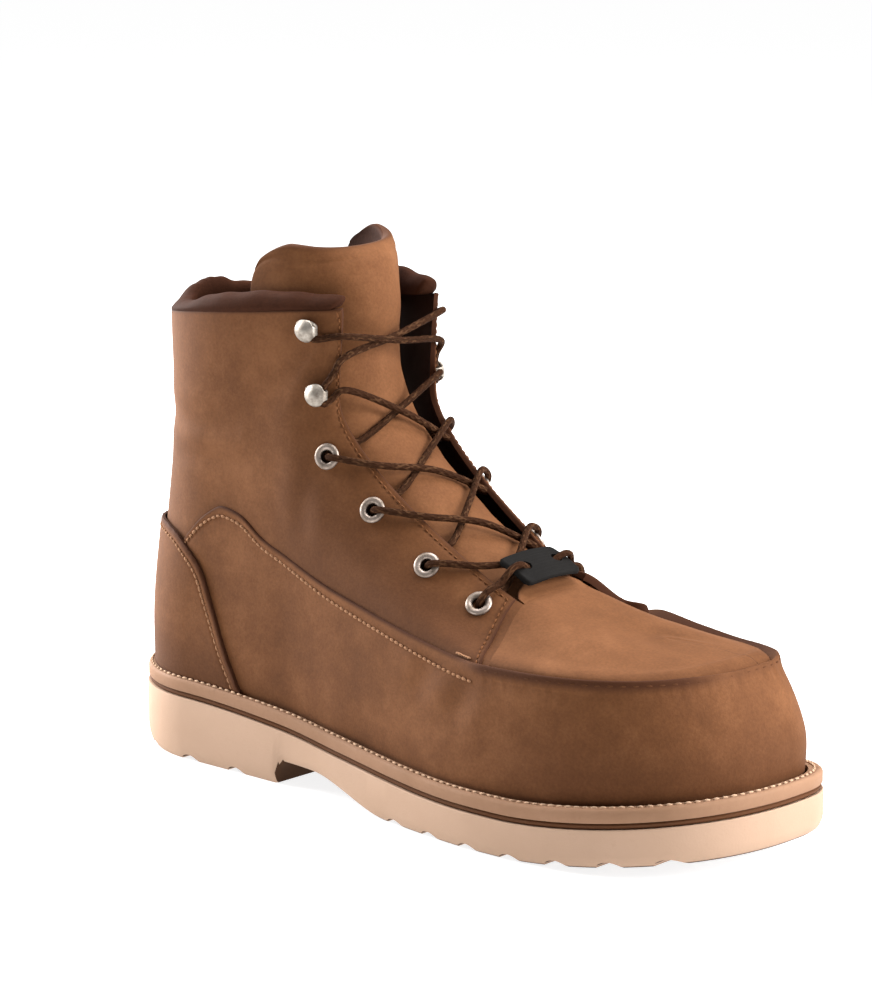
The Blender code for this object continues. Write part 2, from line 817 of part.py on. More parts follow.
def build_eyelets(upper):
    """Turned eyelets, each in a hole of its own through the wall."""
    for side, label in ((LATERAL, "lat"), (MEDIAL, "med")):
        for number, hole in enumerate(EYELETS, 1):
            where = matrix_at(side * hole.q, hole.level)
            made = add_object(f"eyelet_{label}_{number}", eyelet_shape(), "nickel")
            made.matrix_world = where
            turned = made.modifiers.new("turned", "SCREW")
            turned.steps = EYELET_SIDES
            turned.render_steps = EYELET_SIDES
            turned.use_merge_vertices = True
            turned.merge_threshold = 0.0001
            mesh = bmesh.new()
            bmesh.ops.create_cone(
                mesh,
                cap_ends=True,
                segments=EYELET_SIDES,
                radius1=(EYELET_BARREL + GAP) * MM,
                radius2=(EYELET_BARREL + GAP) * MM,
                depth=HOLE_DEPTH * MM,
            )
            cutter = add_object(f"hole_{label}_{number}", mesh, None, cutter=True)
            cutter.matrix_world = where
            cut = upper.modifiers.new("hole", "BOOLEAN")
            cut.operation = "DIFFERENCE"
            cut.object = cutter


def build_hooks():
    """Speed hooks: a bent strip with its foot on the wall and its lip turned back."""
    shares = (-1.0, 0.0, 1.0)
    for side, label in ((LATERAL, "lat"), (MEDIAL, "med")):
        for number, hole in enumerate(HOOKS, 1):
            place, out, towards = frame_at(side * hole.q, hole.level)
            aside = np.cross(out, towards)
            mesh = bmesh.new()
            rows = [
                [
                    place + towards * row.t + out * (row.n + GAP) + aside * row.half * share
                    for share in shares
                ]
                for row in HOOK_STRIP
            ]
            grid_faces(mesh, rows)
            solidify(add_object(f"hook_{label}_{number}", mesh, "nickel"), HOOK_THICK)


def edge_near(hole, side):
    """Where on the throat's edge, from bend to ball, a strand crosses on its way to a hole."""
    place = surface(side * hole.q, hole.level)
    choices = np.linspace(AT.ankle + 0.01, AT.ball - 0.005, 60)
    return side * float(min(choices, key=lambda p: np.linalg.norm(surface(side * p, 4.0) - place)))


def lace_end(hole, side):
    """Where a strand stops, just short of its eyelet or hook."""
    place, out, _ = frame_at(side * hole.q, hole.level)
    edge = surface(edge_near(hole, side), 4.0) - place
    return place + edge / np.linalg.norm(edge) * LACE_STOP + out * (LACE_RADIUS + 2 * GAP)


def lace_start(hole, side):
    """Where a strand comes out from under the throat's edge, a little above its hole."""
    q = edge_near(hole, side) - side * LACE_ROW_SHIFT
    edge, other = surface(q, 4.0), surface(-q, 4.0)
    across = (other - edge) / np.linalg.norm(other - edge)
    return edge + across * LACE_FROM_EDGE


def lace_edge(hole, side):
    """Where a strand crosses over the throat's edge."""
    return raised(edge_near(hole, side), 4.0, LACE_RADIUS + GAP)


def tube(name, points):
    """A round cord through the points, as a mesh object."""
    curve = bpy.data.curves.new(name, "CURVE")
    curve.dimensions = "3D"
    curve.bevel_depth = LACE_RADIUS * MM
    curve.bevel_resolution = 2
    curve.use_fill_caps = True
    route = curve.splines.new("POLY")
    route.points.add(len(points) - 1)
    for knot, point in zip(route.points, points):
        knot.co = (*placed(point), 1.0)
    holder = bpy.data.objects.new(name, curve)
    bpy.context.scene.collection.objects.link(holder)
    solid = bpy.data.meshes.new_from_object(holder.evaluated_get(bpy.context.evaluated_depsgraph_get()))
    bpy.data.objects.remove(holder)
    mesh = bmesh.new()
    mesh.from_mesh(solid)
    bpy.data.meshes.remove(solid)
    bmesh.ops.remove_doubles(mesh, verts=mesh.verts, dist=0.01 * MM)
    bmesh.ops.recalc_face_normals(mesh, faces=mesh.faces)
    return mesh


def strand(low, high, side, middle):
    """Route of one strand: from under one side, over the middle, to the other side's next hole."""
    knots = [lace_start(low, side), middle, lace_edge(high, -side), lace_end(high, -side)]
    return [through(knots, t) for t in np.linspace(0, len(knots) - 1, LACE_POINTS)]


def build_laces():
    """The lace: a bar through the lowest eyelets and a crossing for each row above."""
    holes = (*HOOKS, *EYELETS)
    for number, (high, low) in enumerate(zip(holes, holes[1:]), 1):
        corners = [lace_edge(hole, side) for hole in (high, low) for side in (LATERAL, MEDIAL)]
        lift = np.cross(corners[3] - corners[2], corners[0] + corners[1] - corners[2] - corners[3])
        middle = sum(corners) / 4 + lift / np.linalg.norm(lift) * LACE_RISE
        made = add_object(
            f"lace_cross_{number}", tube("strand", strand(low, high, LATERAL, middle)), "lace_brown"
        )
        other = add_object(
            f"strand_{number}", tube("strand", strand(low, high, MEDIAL, middle)), None, cutter=True
        )
        join = made.modifiers.new("join", "BOOLEAN")
        join.operation = "UNION"
        join.object = other
    add_object("lace_bar", tube("bar", [bar_point(t) for t in np.linspace(0, 4, 11)]), "lace_brown")


def bar_point(t):
    """A point of the lowest lace bar, 0 to 4 from the lateral to the medial eyelet."""
    last = EYELETS[-1]
    edges = [lace_edge(last, side) for side in (LATERAL, MEDIAL)]
    middle = sum(edges) / 2 + BAR_STAND
    return through([lace_end(last, LATERAL), edges[0], middle, edges[1], lace_end(last, MEDIAL)], t)


def build_keeper():
    """Plain tab over the lowest lace bar."""
    slope = math.radians(KEEPER_SLOPE)
    along = np.array((math.cos(slope), 0, -math.sin(slope)))
    out = np.array((math.sin(slope), 0, math.cos(slope)))
    rows = []
    for t in np.linspace(2 - KEEPER_REACH, 2 + KEEPER_REACH, 9):
        centre = bar_point(t) + out * (LACE_RADIUS + GAP + KEEPER_THICK)
        rows.append([centre + along * KEEPER_LENGTH * share for share in (-0.5, 0.0, 0.5)])
    mesh = bmesh.new()
    grid_faces(mesh, rows)
    bmesh.ops.reverse_faces(mesh, faces=mesh.faces)
    solidify(add_object("lace_keeper", mesh, "keeper_grey"), KEEPER_THICK)


def main():
    """Clears the scene and builds the shoe."""
    for old in list(bpy.data.objects):
        bpy.data.objects.remove(old, do_unlink=True)
    build_outsole()
    build_plates()
    build_welt()
    upper = build_upper()
    build_counter()
    build_collar()
    build_tongue()
    build_eyelets(upper)
    build_hooks()
    build_laces()
    build_keeper()


if __name__ == "__main__":
    main()
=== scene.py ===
"""Dresses the safety shoe: a right-foot lace-up work boot in brown nubuck on a cream sole.

Tables are in millimetres: X from the back of the outsole to the toe, Y from the outer (negative) to the
inner side, Z up from the floor. to_metres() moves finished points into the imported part's frame.

The upper's panels come from one form, Last. A place on it is (q, level). q runs round the shoe: 0 is the
heel's back, -1 the toe along the outer side and +1 the toe along the inner side. level runs up the wall:
0 at the sole, 1 at the bulge, 2 at the vamp line, 3 at the ankle, 4 at the top edge, 5 on the plug's ridge.
"""

from __future__ import annotations

import logging
import math
from collections.abc import Callable, Iterable, Sequence
from dataclasses import dataclass
from enum import Enum
from typing import NamedTuple

import bmesh
import bpy
import numpy as np
from mathutils import Matrix, Vector

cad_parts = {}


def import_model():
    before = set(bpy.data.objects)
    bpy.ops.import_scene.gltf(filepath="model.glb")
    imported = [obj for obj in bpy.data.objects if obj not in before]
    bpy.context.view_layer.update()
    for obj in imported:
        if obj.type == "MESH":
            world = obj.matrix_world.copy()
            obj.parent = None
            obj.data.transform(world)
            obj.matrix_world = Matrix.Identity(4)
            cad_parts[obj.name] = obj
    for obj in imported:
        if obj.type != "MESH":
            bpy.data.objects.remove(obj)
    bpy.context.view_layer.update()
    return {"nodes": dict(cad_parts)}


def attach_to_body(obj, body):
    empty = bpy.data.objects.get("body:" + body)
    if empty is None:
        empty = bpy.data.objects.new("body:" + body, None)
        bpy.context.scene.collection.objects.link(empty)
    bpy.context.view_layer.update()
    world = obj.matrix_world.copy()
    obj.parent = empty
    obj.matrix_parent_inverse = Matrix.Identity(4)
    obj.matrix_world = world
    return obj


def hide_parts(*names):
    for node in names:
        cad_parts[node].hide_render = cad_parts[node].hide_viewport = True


LOG = logging.getLogger("safety_shoe")
MM = 0.001
GAP = 0.3
BODY = "root"

Array = np.ndarray
Piece = bpy.types.Object
Material = bpy.types.Material
Socket = bpy.types.NodeSocket
Rgb = tuple[float, float, float]
Pairs = tuple[tuple[float, float], ...]
Height = Callable[[float], float]


class Side(Enum):
    """The two sides of the shoe, with the sign of q and Y there."""

    OUTER = -1
    INNER = 1


class Grain(Enum):
    """Grades of leather surface: how strongly its fine grain stands out."""

    NUBUCK = 0.22
    SOFT = 0.4


# Curves


def smooth(start: float, end: float, x: Array | float) -> Array | float:
    """A smooth step from 0 at start to 1 at end, taken at x."""
    t = np.clip((np.asarray(x, dtype=float) - start) / (end - start), 0.0, 1.0)
    return t * t * (3 - 2 * t)


def hermite(stops: Sequence[float], values: Sequence[float], slopes: Sequence[float], p: float) -> float:
    """A cubic through values at stops.

    Args:
        stops: Rising places.
        values: Height at each stop.
        slopes: Slope at each stop.
        p: Where to take it.

    Returns:
        The height at p.
    """
    i = min(max(int(np.searchsorted(stops, p, side="right")) - 1, 0), len(stops) - 2)
    width = stops[i + 1] - stops[i]
    t = (p - stops[i]) / width
    rest = 1 - t
    near = (1 + 2 * t) * rest * rest * values[i] + t * rest * rest * width * slopes[i]
    far = t * t * (3 - 2 * t) * values[i + 1] - t * t * rest * width * slopes[i + 1]
    return near + far


def middle_slopes(stops: Sequence[float], values: Sequence[float], first: float, last: float) -> list[float]:
    """Slopes that never overshoot.

    Args:
        stops: Rising places.
        values: Height at each stop.
        first: Slope at the first stop.
        last: Slope at the last stop.

    Returns:
        A slope for each stop.
    """
    rises = [(b - a) / (v - u) for a, b, u, v in zip(values, values[1:], stops, stops[1:])]
    inner = [2 * a * b / (a + b) if a * b > 0 else 0.0 for a, b in zip(rises, rises[1:])]
    return [first, *inner, last]


def table(rows: Sequence[tuple[float, float]], p: float) -> float:
    """A smooth curve through a table's rows, flat at both ends; takes its height at p."""
    stops, values = zip(*rows)
    return hermite(stops, values, middle_slopes(stops, values, 0.0, 0.0), p)


def spline(knots: Array, t: Array) -> Array:
    """A centripetal spline through knots[1:-1]; the first and last knot only set directions.

    Args:
        knots: Points, one a row.
        t: Places along it, 0 at knots[1].

    Returns:
        A point for each place.
    """
    t = np.atleast_1d(np.asarray(t, dtype=float))
    i = np.clip(t.astype(int), 0, len(knots) - 4)
    f = (t - i)[:, None]
    p0, p1, p2, p3 = (knots[i + k] for k in range(4))
    d0, d1, d2 = (
        np.maximum(np.sqrt(np.linalg.norm(b - a, axis=1)), 1e-6)[:, None]
        for a, b in ((p0, p1), (p1, p2), (p2, p3))
    )
    m1 = ((p1 - p0) / d0 - (p2 - p0) / (d0 + d1) + (p2 - p1) / d1) * d1
    m2 = ((p2 - p1) / d1 - (p3 - p1) / (d1 + d2) + (p3 - p2) / d2) * d1
    return (
        (2 * f**3 - 3 * f**2 + 1) * p1
        + (f**3 - 2 * f**2 + f) * m1
        + (3 * f**2 - 2 * f**3) * p2
        + (f**3 - f**2) * m2
    )


def through(knots: Array, t: Array) -> Array:
    """A spline through all the knots, straight on at both ends; Args and Returns as spline()."""
    ends = np.vstack([2 * knots[0] - knots[1], knots, 2 * knots[-1] - knots[-2]])
    return spline(ends, t)


def bell(x: Array, width: float) -> Array:
    """A bell curve: 1 where x is 0, and 1/e at the width."""
    return np.exp(-((x / width) ** 2))


def unit(vector: Array) -> Array:
    """The vector, or each row of vectors, at length 1."""
    return vector / np.maximum(np.linalg.norm(vector, axis=-1, keepdims=True), 1e-9)


def to_metres(points: Array) -> Array:
    """Points of the tables as metres from the shoe's origin."""
    return (np.asarray(points, dtype=float) - (Last.SOLE_LENGTH / 2, 0.0, 0.0)) * MM


# The form


class Spot(NamedTuple):
    """A line's place, outer and inner half-width and height at one station."""

    x: float
    outer: float
    inner: float
    z: float


class Line(NamedTuple):
    """A line round the shoe, with the toe's shift, side step and squareness, and the inner side's lift."""

    back: Spot
    heel: Spot
    ankle: Spot
    bend: Spot
    ball: Spot
    tip: Spot
    skew: float
    tip_y: float
    power: float
    lift: float = 0.0


class Stations(NamedTuple):
    """Shares of the way from the heel's back to the toe's tip."""

    back: float
    heel: float
    ankle: float
    bend: float
    ball: float
    tip: float


AT = Stations(0.0, 0.22, 0.38, 0.48, 0.64, 1.0)


class Last:
    """The form that sole and upper are made on."""

    SOLE_LENGTH = 310.0
    OUTLINE = Line(
        Spot(0, 0, 0, 0), Spot(46, 42.5, 40.5, 0), Spot(100, 43.0, 37.5, 0),
        Spot(137, 47.5, 39.5, 0), Spot(212, 57, 57, 0), Spot(310, 0, 0, 0),
        skew=16, tip_y=13, power=2.35,
    )
    BULGE = Line(
        Spot(5.5, 0, 0, 58), Spot(46, 38.8, 37.5, 56), Spot(99, 39.8, 36.0, 50),
        Spot(135, 44.0, 38.5, 45.5), Spot(212, 52.5, 51.5, 43), Spot(302.5, 0, 0, 46),
        skew=13, tip_y=13, power=2.4,
    )
    VAMP = Line(
        Spot(8.2, 0, 0, 95), Spot(56, 37.2, 36.0, 104), Spot(94, 38.0, 36.5, 93),
        Spot(129, 41.5, 38.5, 82), Spot(212, 49.0, 41.5, 68.5), Spot(290, 0, 0, 71.2),
        skew=8, tip_y=12, power=2.55, lift=3.6,
    )
    ANKLE = Line(
        Spot(14.2, 0, 0, 138), Spot(57, 38.2, 37.0, 140), Spot(95, 37.2, 36.2, 143),
        Spot(115, 37.2, 36.0, 119), Spot(208, 38.0, 34.0, 74.4), Spot(280.5, 0, 0, 74.0),
        skew=4, tip_y=11, power=2.5, lift=1.0,
    )
    TOP = Line(
        Spot(12.3, 0, 0, 176), Spot(65, 39.8, 38.8, 183), Spot(121.5, 28.5, 28.5, 188),
        Spot(120, 27.3, 27.3, 152), Spot(205, 20.0, 19.0, 86.8), Spot(266, 0, 0, 76.0),
        skew=0, tip_y=10, power=2.3,
    )
    RIDGE_RISE = 1.5
    LIFT_END = 0.78
    POLE = np.array((250.0, 8.0, 76.4))
    BEND_SKEW = 0.4
    LEDGE = ((AT.back, 4.4), (AT.heel, 4.4), (AT.bend, 5.2), (AT.ball, 6.0), (AT.tip, 7.4))
    HEEL_HEIGHT = 27.0
    FOREFOOT_HEIGHT = 15.6
    SLOPE = (40.0, 205.0)
    SPRING_FROM = 225.0
    SPRING_RISE = 9.5
    SPRING_POWER = 1.5
    BREAST = (97.0, 101.0)
    ARCH_RISE = 9.5
    ARCH = (118.0, 162.0)
    MIDSOLE = 1.8
    FOOT_BASE = MIDSOLE / 2 + GAP
    STEP = 0.015
    EDGE = 4.0
    PLUG_END = 4.9

    def __init__(self) -> None:
        """Starts with no ribs worked out."""
        self._ribs: dict[float, Array] = {}

    @staticmethod
    def wrapped(q: float) -> float:
        """q brought back to -1..1, past the toe's tip."""
        return q - 2 if q > 1 else q + 2 if q < -1 else q

    @staticmethod
    def width(spot: Spot, side: int) -> float:
        """Half-width of a spot on one side."""
        return spot.outer if side < 0 else spot.inner

    def line_point(self, line: Line, q: float) -> Array:
        """The point of a line round the shoe.

        Args:
            line: One of the form's lines.
            q: Place round the shoe.

        Returns:
            The point, in millimetres.
        """
        side = -1 if q < 0 else 1
        p = abs(q)
        quarter = math.pi / 2
        heel, ball, tip = line.heel, line.ball, line.tip
        ball_x = ball.x + (line.skew if side > 0 else 0.0)
        heel_speed = (heel.x - line.back.x) * quarter / AT.heel
        toe_speed = (tip.x - ball_x) * quarter / (AT.tip - AT.ball)
        if p <= AT.heel:
            turn = p / AT.heel * quarter
            x = heel.x - (heel.x - line.back.x) * math.cos(turn)
            y = side * self.width(heel, side) * math.sin(turn)
        elif p >= AT.ball:
            turn = (p - AT.ball) / (AT.tip - AT.ball) * quarter
            c, s = max(math.cos(turn), 0.0), math.sin(turn)
            reach = (c**line.power + s**line.power) ** (-1 / line.power)
            x = ball_x + (tip.x - ball_x) * s * reach
            y = line.tip_y + (side * self.width(ball, side) - line.tip_y) * c * reach
        else:
            stops = AT[1:5]
            xs = [heel.x, line.ankle.x, line.bend.x + (ball_x - ball.x) * self.BEND_SKEW, ball_x]
            x = hermite(stops, xs, middle_slopes(stops, xs, heel_speed, toe_speed), p)
            y = side * table([(stop, self.width(spot, side)) for stop, spot in zip(stops, line[1:5])], p)
        z = table([(stop, spot.z) for stop, spot in zip(AT, line)], p)
        if side > 0:
            rise = float(smooth(AT.bend, AT.ball, p)) * (1 - float(smooth(AT.ball, self.LIFT_END, p)))
            z += line.lift * rise
        return np.array((x, y, z))

    def spring(self, x: float) -> float:
        """Rise of the toe at x."""
        share = max(0.0, (x - self.SPRING_FROM) / (self.SOLE_LENGTH - self.SPRING_FROM))
        return self.SPRING_RISE * share**self.SPRING_POWER

    def seat(self, x: float) -> float:
        """Height of the midsole's middle line at x."""
        fall = (self.HEEL_HEIGHT - self.FOREFOOT_HEIGHT) * float(smooth(*self.SLOPE, x))
        return self.HEEL_HEIGHT - fall + self.spring(x)

    def floor_line(self, x: float) -> float:
        """Height of the outsole's underside at x: flat heel, arch, toe spring."""
        arch = self.ARCH_RISE * float(smooth(*self.BREAST, x)) * (1 - float(smooth(*self.ARCH, x)))
        return arch + self.spring(x)

    def ledge_at(self, p: float) -> float:
        """Width of the ledge that the sole leaves round the upper."""
        return table(self.LEDGE, p)

    def outline(self, q: float, inset: float = 0.0) -> Array:
        """The sole's outline from above.

        Args:
            q: Place round the shoe.
            inset: How far in along its normal.

        Returns:
            The point, at height 0.
        """
        here = self.line_point(self.OUTLINE, q)
        if inset == 0:
            return here
        step = 1e-3
        ahead = self.line_point(self.OUTLINE, self.wrapped(q + step))
        along = ahead - self.line_point(self.OUTLINE, self.wrapped(q - step))
        inward = np.array((along[1], -along[0], 0.0))
        return here + unit(inward) * inset

    def feather(self, q: float) -> Array:
        """The line where the upper meets the sole."""
        point = self.outline(q, self.ledge_at(abs(q)))
        point[2] = self.seat(point[0]) + self.FOOT_BASE
        return point

    def ridge(self, p: float) -> Array:
        """Middle line of the plug, from the throat to a pole behind the toe's tip."""
        ends = self.line_point(self.TOP, -AT.ball) + self.line_point(self.TOP, AT.ball)
        base = ends / 2 + np.array((0, 0, self.RIDGE_RISE))
        turn = (p - AT.ball) / (AT.tip - AT.ball) * math.pi / 2
        return base + (self.POLE - base) * math.sin(turn)

    def rib_knots(self, q: float) -> Array:
        """Knots of the rib at q, from the sole up to the top edge or the ridge."""
        key = round(q, 7)
        if key not in self._ribs:
            lines = (self.BULGE, self.VAMP, self.ANKLE, self.TOP)
            rows = [self.feather(q), *(self.line_point(line, q) for line in lines)]
            foot = 2 * rows[0] - rows[1]
            other = self.line_point(self.TOP, -q)
            if abs(q) >= AT.ball:
                knots = [foot, *rows, self.ridge(abs(q)), other]
            else:
                straight = 2 * rows[4] - rows[3]
                across = (rows[4] + other) / 2 + np.array((0, 0, self.RIDGE_RISE))
                share = float(smooth(AT.ankle, AT.ball, abs(q)))
                knots = [foot, *rows, straight + (across - straight) * share]
            self._ribs[key] = np.array(knots)
        return self._ribs[key]

    def rib(self, q: float, levels: Array) -> Array:
        """Points of the rib at q, one for each level."""
        return spline(self.rib_knots(q), levels)

    def normals(self, q: float, levels: Array) -> Array:
        """Outward unit normals of the wall.

        Args:
            q: Place round the shoe.
            levels: Levels on that rib.

        Returns:
            A normal for each level.
        """
        high = self.PLUG_END if abs(q) >= AT.ball else self.EDGE
        levels = np.minimum(levels, high)
        up = self.rib(q, np.minimum(levels + self.STEP, high))
        up = up - self.rib(q, np.maximum(levels - self.STEP, 0.0))
        ends = [self.wrapped(q + step) for step in (self.STEP, -self.STEP)]
        if abs(q) >= AT.ball:
            ends = [end if abs(end) >= AT.ball else q for end in ends]
        along = self.rib(ends[0], levels) - self.rib(ends[1], levels)
        return unit(np.cross(up, along))

    def place(self, q: float, level: float, out: float = 0.0) -> Array:
        """One point of the wall, set out along its normal."""
        levels = np.array([level])
        return (self.rib(q, levels) + self.normals(q, levels) * out)[0]

    def edge(self, q: float, out: float = 0.0) -> Array:
        """A point of the top edge, set out along its normal."""
        return self.place(q, self.EDGE, out)

    def normal(self, q: float, level: float = EDGE) -> Array:
        """The wall's outward unit normal at one place."""
        return self.normals(q, np.array([level]))[0]

    def rib_speed(self, q: float, level: float) -> float:
        """Millimetres along the rib for one level, just below the given one."""
        step = 0.02
        ends = self.rib(q, np.array([level, level - step]))
        return float(np.linalg.norm(ends[0] - ends[1]) / step)

    def row_speed(self, q: float, level: float) -> float:
        """Millimetres round the shoe for one q."""
        step = 0.004
        run = self.place(q + step, level) - self.place(q - step, level)
        return float(np.linalg.norm(run) / (2 * step))


# Finishes


class Nodes:
    """A node tree, with short ways to add and join nodes."""

    def __init__(self, tree: bpy.types.NodeTree) -> None:
        """Works on the given tree."""
        self.tree = tree

    def put(self, socket: Socket, value: object) -> None:
        """Links a socket into another, or sets its value."""
        if isinstance(value, Socket):
            self.tree.links.new(value, socket)
        else:
            socket.default_value = value

    def fill(self, node: bpy.types.Node, inputs: dict[str, object]) -> None:
        """Sets or links a node's inputs, by name with _ for a space."""
        for name, value in inputs.items():
            self.put(node.inputs[name.replace("_", " ")], value)

    def node(self, kind: str, settings: dict[str, object] | None = None, **inputs: object) -> bpy.types.Node:
        """A new node.

        Args:
            kind: Blender's name of the node.
            settings: Its properties.
            inputs: Values or sockets for its inputs, by input name with _ for a space.

        Returns:
            The node.
        """
        made = self.tree.nodes.new(kind)
        for name, value in (settings or {}).items():
            setattr(made, name, value)
        self.fill(made, inputs)
        return made


class Shader(Nodes):
    """A material's nodes round its Principled shader."""

    def __init__(self, name: str) -> None:
        """Makes the material."""
        self.material = bpy.data.materials.new(name)
        self.material.use_nodes = True
        super().__init__(self.material.node_tree)
        self.surface = self.tree.nodes["Principled BSDF"]

    def set(self, **inputs: object) -> None:
        """Sets or links inputs of the Principled shader, by name with _ for a space."""
        self.fill(self.surface, inputs)

    def coords(self) -> Socket:
        """Object coordinates."""
        return self.node("ShaderNodeTexCoord").outputs["Object"]

    def attribute(self, name: str, output: str = "Fac") -> Socket:
        """A value or vector that the mesh carries."""
        return self.node("ShaderNodeAttribute", {"attribute_name": name}).outputs[output]

    def noise(self, scale: float, detail: float = 3.0, rough: float = 0.5) -> Socket:
        """Noise on Object coordinates, about 0.5 in the middle."""
        values = {"Scale": scale, "Detail": detail, "Roughness": rough}
        return self.node("ShaderNodeTexNoise", Vector=self.coords(), **values).outputs["Fac"]

    def math(self, kind: str, a: object, b: object = 0.0) -> Socket:
        """One sum on two values or sockets."""
        node = self.node("ShaderNodeMath", {"operation": kind})
        self.put(node.inputs[0], a)
        self.put(node.inputs[1], b)
        return node.outputs[0]

    def ramp(self, value: Socket, stops: Sequence[tuple[float, Rgb]]) -> Socket:
        """Colours along a value.

        Args:
            value: The value to read.
            stops: Places, with the colour at each.

        Returns:
            The colour.
        """
        node = self.node("ShaderNodeValToRGB", Fac=value)
        marks = node.color_ramp.elements
        while len(marks) < len(stops):
            marks.new(0.5)
        for mark, (place, rgb) in zip(marks, stops):
            mark.position = place
            mark.color = (*rgb, 1.0)
        return node.outputs["Color"]

    def span(self, value: Socket, low: float, high: float, to: tuple[float, float] = (0.0, 1.0)) -> Socket:
        """A value's range from low to high stretched to another, and held at its ends."""
        ends = {"From_Min": low, "From_Max": high, "To_Min": to[0], "To_Max": to[1]}
        return self.node("ShaderNodeMapRange", {"clamp": True}, Value=value, **ends).outputs["Result"]

    def blend(self, share: object, a: object, b: object, kind: str = "MIX") -> Socket:
        """Two colours mixed.

        Args:
            share: How much of b.
            a: A colour or socket.
            b: A colour or socket.
            kind: The way to mix.

        Returns:
            The mixed colour.
        """
        node = self.node("ShaderNodeMix", {"data_type": "RGBA", "blend_type": kind})
        for socket, value in ((node.inputs[0], share), (node.inputs[6], a), (node.inputs[7], b)):
            self.put(socket, (*value, 1.0) if isinstance(value, tuple) else value)
        return node.outputs[2]

    def bump(self, height: Socket, strength: float, distance: float) -> None:
        """Adds a bump under those already there.

        Args:
            height: Height, 0 to 1.
            strength: Share of the effect.
            distance: Its depth in metres.
        """
        node = self.node("ShaderNodeBump", Height=height, Strength=strength, Distance=distance)
        socket = self.surface.inputs["Normal"]
        if socket.links:
            self.put(node.inputs["Normal"], socket.links[0].from_socket)
        self.put(socket, node.outputs["Normal"])


@dataclass(frozen=True)
class Leather:
    """Brushed leather: cloudy colour, painted shade and light, darkened cut edges, fine grain and pores."""

    name: str
    deep: Rgb
    middle: Rgb
    pale: Rgb
    cut: Rgb
    grain: Grain = Grain.NUBUCK
    roughness: float = 0.82
    gloss: float = 0.14
    nap: float = 900.0
    pores: float = 1150.0
    fine: float = 1500.0

    def build(self) -> Material:
        """Makes the material."""
        shader = Shader(self.name)
        cloud = shader.math("MULTIPLY", shader.noise(22.0, 4.0, 0.55), 0.6)
        cloud = shader.math("ADD", cloud, shader.math("MULTIPLY", shader.noise(95.0, 5.0, 0.6), 0.4))
        colour = shader.ramp(cloud, ((0.22, self.deep), (0.5, self.middle), (0.78, self.pale)))
        # Painted shade and light: the mesh's shade attribute pulls the colour towards deep below 0 and
        # towards pale above 0.
        shade = shader.attribute("shade")
        colour = shader.blend(shader.span(shade, 0.0, -1.0, (0.0, 0.75)), colour, self.deep)
        colour = shader.blend(shader.span(shade, 0.0, 1.0, (0.0, 0.7)), colour, self.pale)
        nap = shader.span(shader.noise(self.nap, 2.0, 0.6), 0.3, 0.7, (0.88, 1.08))
        grey = shader.node("ShaderNodeCombineColor", Red=nap, Green=nap, Blue=nap).outputs["Color"]
        colour = shader.blend(1.0, colour, grey, "MULTIPLY")
        colour = shader.blend(shader.attribute("edge"), colour, self.cut)
        shader.set(Base_Color=colour, Roughness=self.roughness, Specular_IOR_Level=self.gloss)
        shader.set(Sheen_Weight=0.05, Sheen_Roughness=0.5, Sheen_Tint=(*self.pale, 1.0))
        cells = shader.node("ShaderNodeTexVoronoi", Vector=shader.coords(), Scale=self.pores)
        shader.bump(shader.noise(60.0, 3.0, 0.5), 0.5, 0.0005)
        shader.bump(shader.noise(self.fine, 3.0, 0.6), self.grain.value, 0.0002)
        shader.bump(cells.outputs["Distance"], self.grain.value * 0.6, 0.00015)
        return shader.material


@dataclass(frozen=True)
class Plain:
    """A moulded or woven surface of one colour with faint clouds, specks and fine bump."""

    name: str
    colour: Rgb
    dark: Rgb
    roughness: float = 0.6
    fine: float = 1400.0
    depth: float = 0.0002
    soil: float = 0.35
    gloss: float = 0.1

    def build(self) -> Material:
        """Makes the material."""
        shader = Shader(self.name)
        cloud = shader.span(shader.noise(38.0, 5.0, 0.6), 0.38, 0.72, (0.0, self.soil))
        specks = shader.span(shader.noise(420.0, 3.0, 0.7), 0.56, 0.72, (0.0, self.soil * 0.7))
        share = shader.math("MAXIMUM", cloud, specks)
        share = shader.math("MAXIMUM", share, shader.attribute("edge"))
        uneven = shader.span(shader.noise(70.0), 0.3, 0.7, (self.roughness - 0.08, self.roughness + 0.08))
        colour = shader.blend(share, self.colour, self.dark)
        shader.set(Base_Color=colour, Roughness=uneven, Specular_IOR_Level=self.gloss)
        shader.bump(shader.noise(self.fine, 4.0, 0.6), 0.35, self.depth)
        return shader.material


@dataclass(frozen=True)
class Metal:
    """Plated metal with handling marks and a tarnished film in places."""

    name: str
    bright: Rgb
    tarnish: Rgb
    roughness: float

    def build(self) -> Material:
        """Makes the material."""
        shader = Shader(self.name)
        film = shader.span(shader.noise(260.0, 4.0, 0.65), 0.4, 0.68)
        shader.set(Base_Color=shader.blend(film, self.bright, self.tarnish), Metallic=1.0)
        shader.set(Roughness=shader.span(film, 0.0, 1.0, (self.roughness, self.roughness + 0.2)))
        shader.bump(shader.noise(1800.0, 2.0, 0.5), 0.15, 0.00008)
        return shader.material


